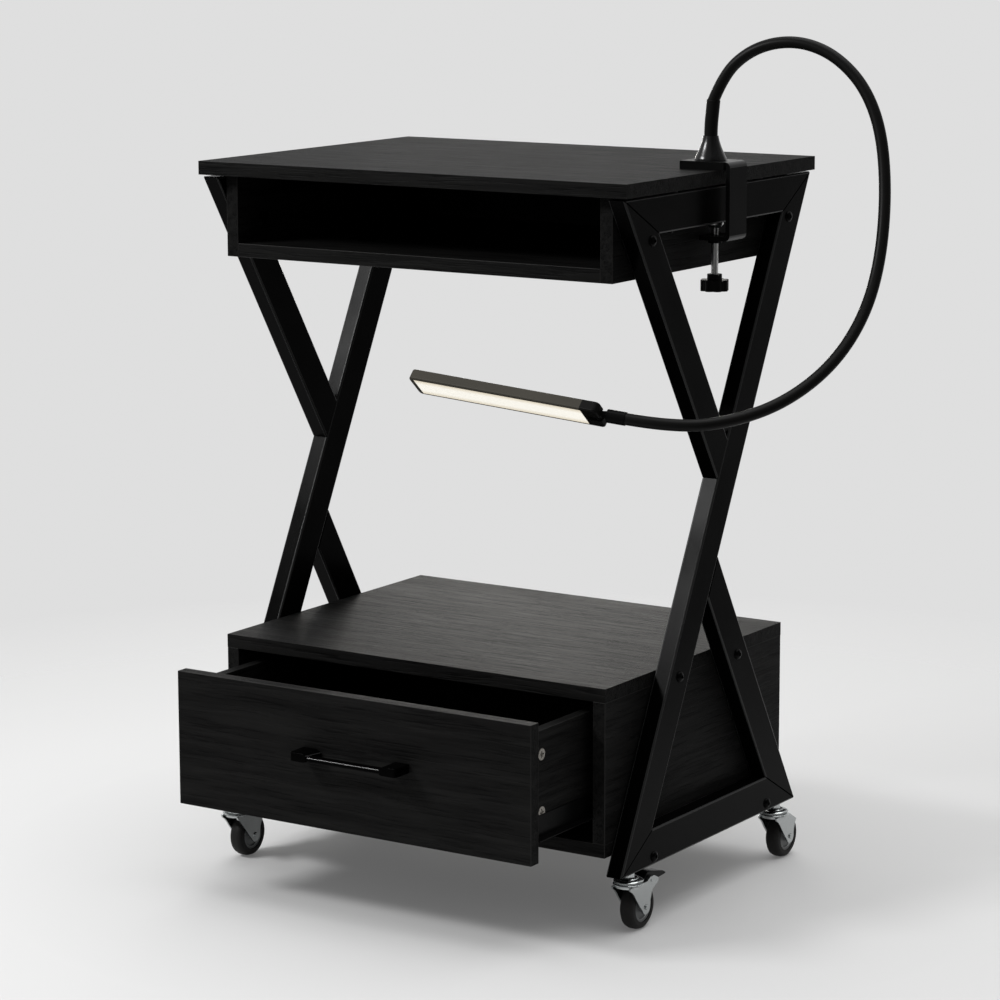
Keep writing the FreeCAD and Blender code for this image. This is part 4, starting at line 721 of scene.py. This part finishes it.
# %% [markdown]
# ## The clamp's threaded screw
# A thread is a small ridge wound round a rod. Geometry Nodes has a spiral curve, and a small
# four-sided ring swept along it makes the ridge. Its normals are set to Z up first, so that
# the ring doesn't twist on its way. The ridge and the rod overlap, as the plain sum of two
# shapes. One tree makes both, from the screw's radius, its core, its pitch and its length.

# %% Thread
RIDGE_SHARE, ENDS_SHARE = 0.30, 1.2


def thread_rule():
    """A rod with a ridge wound round it, from the piece's one point upwards."""
    tree, given, result = new_rule("screw_thread", radius=0.004, core=0.0036, pitch=0.00125,
                                   length=0.069)
    size = given.outputs
    margin = maths(tree, "MULTIPLY", size["pitch"], ENDS_SHARE)
    wound = maths(tree, "SUBTRACT", size["length"], margin)
    half = maths(tree, "MULTIPLY", size["pitch"], RIDGE_SHARE)
    line = maths(tree, "SUBTRACT", size["radius"], half)
    spiral = add(tree, "GeometryNodeCurveSpiral", Resolution=20,
                 Rotations=maths(tree, "DIVIDE", wound, size["pitch"]))
    for name in ("Start Radius", "End Radius"):
        tree.links.new(line, spiral.inputs[name])
    tree.links.new(wound, spiral.inputs["Height"])
    ridge = add(tree, "GeometryNodeCurvePrimitiveCircle", {"mode": "RADIUS"}, Resolution=4,
                Radius=half)
    level = add(tree, "GeometryNodeSetCurveNormal", {"mode": "Z_UP"}, Curve=spiral.outputs[0])
    swept = add(tree, "GeometryNodeCurveToMesh", Curve=level.outputs[0], Fill_Caps=True)
    tree.links.new(ridge.outputs[0], swept.inputs["Profile Curve"])
    rod = add(tree, "GeometryNodeMeshCylinder", Vertices=32, Radius=size["core"],
              Depth=size["length"])
    whole = joined(tree,
                   moved(tree, swept.outputs[0], maths(tree, "MULTIPLY", margin, 0.5)),
                   moved(tree, rod.outputs["Mesh"],
                         maths(tree, "MULTIPLY", size["length"], 0.5)))
    copies = add(tree, "GeometryNodeInstanceOnPoints", Points=given.outputs[0], Instance=whole)
    close_rule(tree, given, result, copies.outputs["Instances"])
    return tree


low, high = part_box("clamp_screw")
low, high = Vector(low), Vector(high)
screw = points_piece("clamp_thread", [((low.x + high.x) / 2, (low.y + high.y) / 2, low.z)])
grow(screw, thread_rule(), steel, length=high.z - low.z)
shade(screw, 25.0)
settle(screw, "clamp_screw")
print("thread faces:", len(screw.data.polygons))

# %% [markdown]
# ## The gooseneck
# The neck is a coiled steel tube in a black silicone skin, so it bends in one smooth sweep.
# Its centreline is a NURBS curve that a few control points pull into shape. They are given in
# shares of the neck's reach to the side, of its way to the front and of its height. A tree
# resamples the curve evenly and sweeps a circle along it. The line starts inside the sleeve
# and ends in the link before the hinge.

# %% Gooseneck
BELL = Vector((0.254, 0.004, 0.835))
SLEEVE_TOP = Vector((0.25698, 0.004, 0.87288))
REACH, FORWARD, RISE = 0.225, 0.254, 0.265
INSIDE_SLEEVE, SHORT_OF_HINGE = 0.004, 0.029
NECK_ROUTE = [
    (0.063, -0.003, 0.242), (0.182, -0.012, 0.335), (0.328, -0.024, 0.380),
    (0.484, -0.036, 0.379), (0.640, -0.043, 0.326), (0.785, -0.041, 0.214),
    (0.887, -0.016, 0.049), (0.948, 0.039, -0.181), (0.979, 0.130, -0.436),
    (0.979, 0.264, -0.646), (0.924, 0.440, -0.820), (0.800, 0.621, -0.947),
    (0.635, 0.777, -1.014), (0.438, 0.931, -1.035),
]


def tube_rule():
    """A round tube along the piece's curve."""
    tree, given, result = new_rule("tube_along_curve", radius=0.00625, step=0.004, around=32)
    even = add(tree, "GeometryNodeResampleCurve", {"mode": "LENGTH"}, Curve=given.outputs[0],
               Length=given.outputs["step"])
    ring = add(tree, "GeometryNodeCurvePrimitiveCircle", {"mode": "RADIUS"},
               Resolution=given.outputs["around"], Radius=given.outputs["radius"])
    swept = add(tree, "GeometryNodeCurveToMesh", Curve=even.outputs[0], Fill_Caps=True)
    tree.links.new(ring.outputs[0], swept.inputs["Profile Curve"])
    smooth = add(tree, "GeometryNodeSetShadeSmooth", Geometry=swept.outputs[0])
    close_rule(tree, given, result, smooth.outputs[0])
    return tree


def nurbs_line(name, points):
    """A curve object with one open NURBS spline that ends on its end points."""
    line = bpy.data.curves.new(name, "CURVE")
    line.dimensions = "3D"
    line.resolution_u = 24
    spline = line.splines.new("NURBS")
    spline.points.add(len(points) - 1)
    for point, place in zip(spline.points, points):
        point.co = (*place, 1.0)
    spline.order_u = 3
    spline.use_endpoint_u = True
    made = bpy.data.objects.new(name, line)
    scene.collection.objects.link(made)
    return made


corners = [BELL + Vector((REACH * out, -FORWARD * front, RISE * up))
           for out, front, up in NECK_ROUTE]
approach = (HINGE - corners[-1]).normalized()
leave = (corners[0] - SLEEVE_TOP).normalized()
route = [SLEEVE_TOP - leave * INSIDE_SLEEVE] + corners + [HINGE - approach * SHORT_OF_HINGE]
neck = grow(nurbs_line("gooseneck_tube", route), tube_rule(), neck_rubber)
settle(neck, "gooseneck")
print("gooseneck faces:", len(neck.data.polygons))

# %% [markdown]
# ## The drawer's hardware
# What is left keeps its imported shape, copied and shaded. Small hard edges are eased by a few
# tenths of a millimetre where the real piece is cast, moulded or deep drawn, because those
# edges are what glints on a black clamp, a black handle and a bright fork. The handle's lighter
# glint finish is a painted highlight, and it stays only on the upper edges of the bar between
# its posts.

# %% Drawer hardware
POST_END, LOOKS_UP = 0.022, 0.2
handle = eased("drawer_handle", handle_paint, 0.0005, 2, 50.0, rim=glint_paint)
low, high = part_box("drawer_handle")
# Only bevels that look up, on the bar between the posts, keep the painted highlight.
for face in handle.data.polygons:
    inside = low[0] + POST_END < face.center.x < high[0] - POST_END
    face.material_index *= int(inside and face.normal.z > LOOKS_UP)
FITTINGS = [("cabinet_runners", runner_paint), ("drawer_runners", runner_paint),
            ("cabinet_rollers", nylon), ("drawer_rollers", nylon), ("drawer_cams", cam_metal)]
for name, finish in FITTINGS:
    eased(name, finish, 0.0002, 1, 50.0)
print("a handle that glints only along its bar, and", len(FITTINGS), "fittings")

# %% [markdown]
# ## The lamp's clamp and head
# The clamp is a jaw on a bent strip, with a lobed knob and a steel pad. Its edges get the
# lighter edge finish too, a painted highlight. The bell below the neck is moulded and glossy,
# and needs only smooth shading; the head keeps its crisp long edges.

# %% Clamp
eased("clamp_bracket", clamp_paint, 0.0008, 2, 50.0, edge=edge_highlight_paint, rim=edge_highlight_paint)
eased("clamp_foot", steel, 0.0003, 2, 50.0)
eased("clamp_knob", knob_plastic, 0.0005, 2, 50.0)
print("clamp: bracket, pad and knob")

# %% Lamp
eased("neck_base", bell_gloss, smooth=45.0)
eased("neck_sleeve", neck_rubber, 0.0004, 2, 60.0, 45.0)
eased("neck_tip", clamp_paint, 0.0003, 2, 50.0, 40.0)
eased("lamp_head", head_finish, 0.0, smooth=30.0)
eased("lamp_diffuser", panel_light, 0.0003, 1, 50.0)
print("lamp: bell, sleeve, link, head and panel")

# %% [markdown]
# ## Casters
# Each caster is a pressed fork, bright with zinc, round a rubber tyre on a grey hub. The hub
# has a lighter outer ring, which is the same moulding: the faces that lie far enough from the
# axle get the ring's finish. The front pair has a black brake pedal.

# %% Casters
RING_FROM = 0.0135
eased("caster_stems", zinc, 0.0002, 1, 50.0)
for corner in ("front_right", "front_left", "rear_right", "rear_left"):
    eased("fork_" + corner, zinc, 0.0003, 2, 45.0, 35.0)
    eased("tyre_" + corner, tyre_rubber, smooth=40.0)
    hub = eased("hub_" + corner, hub_plastic, smooth=30.0)
    hub.data.materials.append(hub_ring)
    low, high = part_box("hub_" + corner)
    middle = (Vector(low) + Vector(high)) / 2
    for face in hub.data.polygons:
        off = face.center - middle
        if math.hypot(off.y, off.z) > RING_FROM:
            face.material_index = 1
for corner in ("front_right", "front_left"):
    eased("brake_" + corner, pedal_plastic, 0.0004, 2, 40.0)

# %% [markdown]
# ## The studio floor
# The floor is a pale disc that fades out into a background of the same grey, so there is no
# horizon. It is matt, and a faint glow of its own brings it near the background's tone.

# %% Floor
PALE = 0.737
FLOOR_RADIUS, FLOOR_GLOW = 1.5, 0.10


def studio_floor(radius):
    """A disc under the casters, marked as stage."""
    mesh = bpy.data.meshes.new("floor")
    work = bmesh.new()
    bmesh.ops.create_circle(work, cap_ends=True, segments=96, radius=radius)
    work.to_mesh(mesh)
    work.free()
    made = bpy.data.objects.new("floor", mesh)
    scene.collection.objects.link(made)
    finish, tree, shader = new_finish("pale_floor", (0.55, 0.55, 0.55), 0.9,
                                      Specular_IOR_Level=0.0,
                                      Emission_Color=(1.0, 1.0, 1.0, 1.0),
                                      Emission_Strength=FLOOR_GLOW)
    place = add(tree, "ShaderNodeTexCoord").outputs["Object"]
    away = add(tree, "ShaderNodeVectorMath", {"operation": "LENGTH"}, i0=place)
    fade = ramp(tree, away.outputs["Value"], radius * 0.40, radius * 0.98)
    clear = add(tree, "ShaderNodeBsdfTransparent")
    blend = add(tree, "ShaderNodeMixShader", i0=fade, i1=shader.outputs[0],
                i2=clear.outputs[0])
    tree.links.new(blend.outputs[0], tree.nodes["Material Output"].inputs["Surface"])
    mesh.materials.append(finish)
    made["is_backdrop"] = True


studio_floor(FLOOR_RADIUS)
print("floor radius:", FLOOR_RADIUS, "m")

# %% [markdown]
# ## World and lamps
# The eye sees one even pale backdrop. Matt surfaces are lit by a soft sky that is brighter
# above. Gloss shows the backdrop too, but as in a real room with dark corners: dimmer at the
# front, where the camera stands, and on the right, so black paint stays black there. A broad
# key lamp from the front left models the forms, a wide soft sun overhead makes the shadow,
# and a weak warm lamp low at the rear left touches the top of the cabinet.

# %% World and lamps
FRONT_DIM, RIGHT_DIM = 0.35, 0.30


def studio_world():
    """A pale backdrop to the eye, dimmer in gloss at the front and right; a sky for light."""
    world = bpy.data.worlds.new("studio")
    scene.world = world
    world.use_nodes = True
    tree = world.node_tree
    tree.nodes.clear()
    way = add(tree, "ShaderNodeTexCoord").outputs["Generated"]
    side = add(tree, "ShaderNodeSeparateXYZ", Vector=way).outputs
    sky = add(tree, "ShaderNodeBackground", Color=(1.0, 1.0, 1.0, 1.0),
              Strength=ramp(tree, side["Z"], -0.1, 0.9, 0.15, 0.55))
    path = add(tree, "ShaderNodeLightPath").outputs
    dim = maths(tree, "MULTIPLY", ramp(tree, side["Y"], -0.5, 0.4, FRONT_DIM, 1.0),
                ramp(tree, side["X"], 0.25, 0.50, 1.0, RIGHT_DIM))
    room = maths(tree, "MAXIMUM", path["Is Camera Ray"], dim)
    backdrop = add(tree, "ShaderNodeBackground", Color=(PALE, PALE, PALE, 1.0), Strength=room)
    mirror = maths(tree, "MAXIMUM", path["Is Glossy Ray"], path["Is Transmission Ray"])
    seen = maths(tree, "MAXIMUM", path["Is Camera Ray"], mirror)
    mixed = add(tree, "ShaderNodeMixShader", i0=seen, i1=sky.outputs[0],
                i2=backdrop.outputs[0])
    out = add(tree, "ShaderNodeOutputWorld")
    tree.links.new(mixed.outputs[0], out.inputs["Surface"])


def lamp(name, kind, power, place, aim, size, **settings):
    """A lamp at a place, turned to look at an aim."""
    data = bpy.data.lights.new(name, kind)
    data.energy = power
    for key, value in settings.items():
        setattr(data, key, value)
    if kind == "AREA":
        data.shape = "RECTANGLE"
        data.size, data.size_y = size
    else:
        data.angle = math.radians(size)
    made = bpy.data.objects.new(name, data)
    made.location = place
    made.rotation_mode = "QUATERNION"
    made.rotation_quaternion = (Vector(aim) - Vector(place)).to_track_quat("-Z", "Y")
    made.visible_camera = False
    scene.collection.objects.link(made)


studio_world()
lamp("overhead", "SUN", 1.8, (0.1, 0.35, 3.0), (0.0, 0.0, 0.0), 60.0)
lamp("key", "AREA", 52.0, (-1.55, -1.90, 2.25), (0.05, -0.1, 0.40), (1.0, 0.45))
lamp("low_rear", "AREA", 7.0, (-1.15, 1.95, 0.72), (0.0, 0.0, 0.33), (0.7, 0.3),
     color=(1.0, 0.975, 0.92))

# %% [markdown]
# ## The size of the dressed model
# The box round every visible piece of the dressed model, the floor left out, is printed.

# %% Size
low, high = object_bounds()
print("visual box:", [round(v, 4) for v in low], [round(v, 4) for v in high])
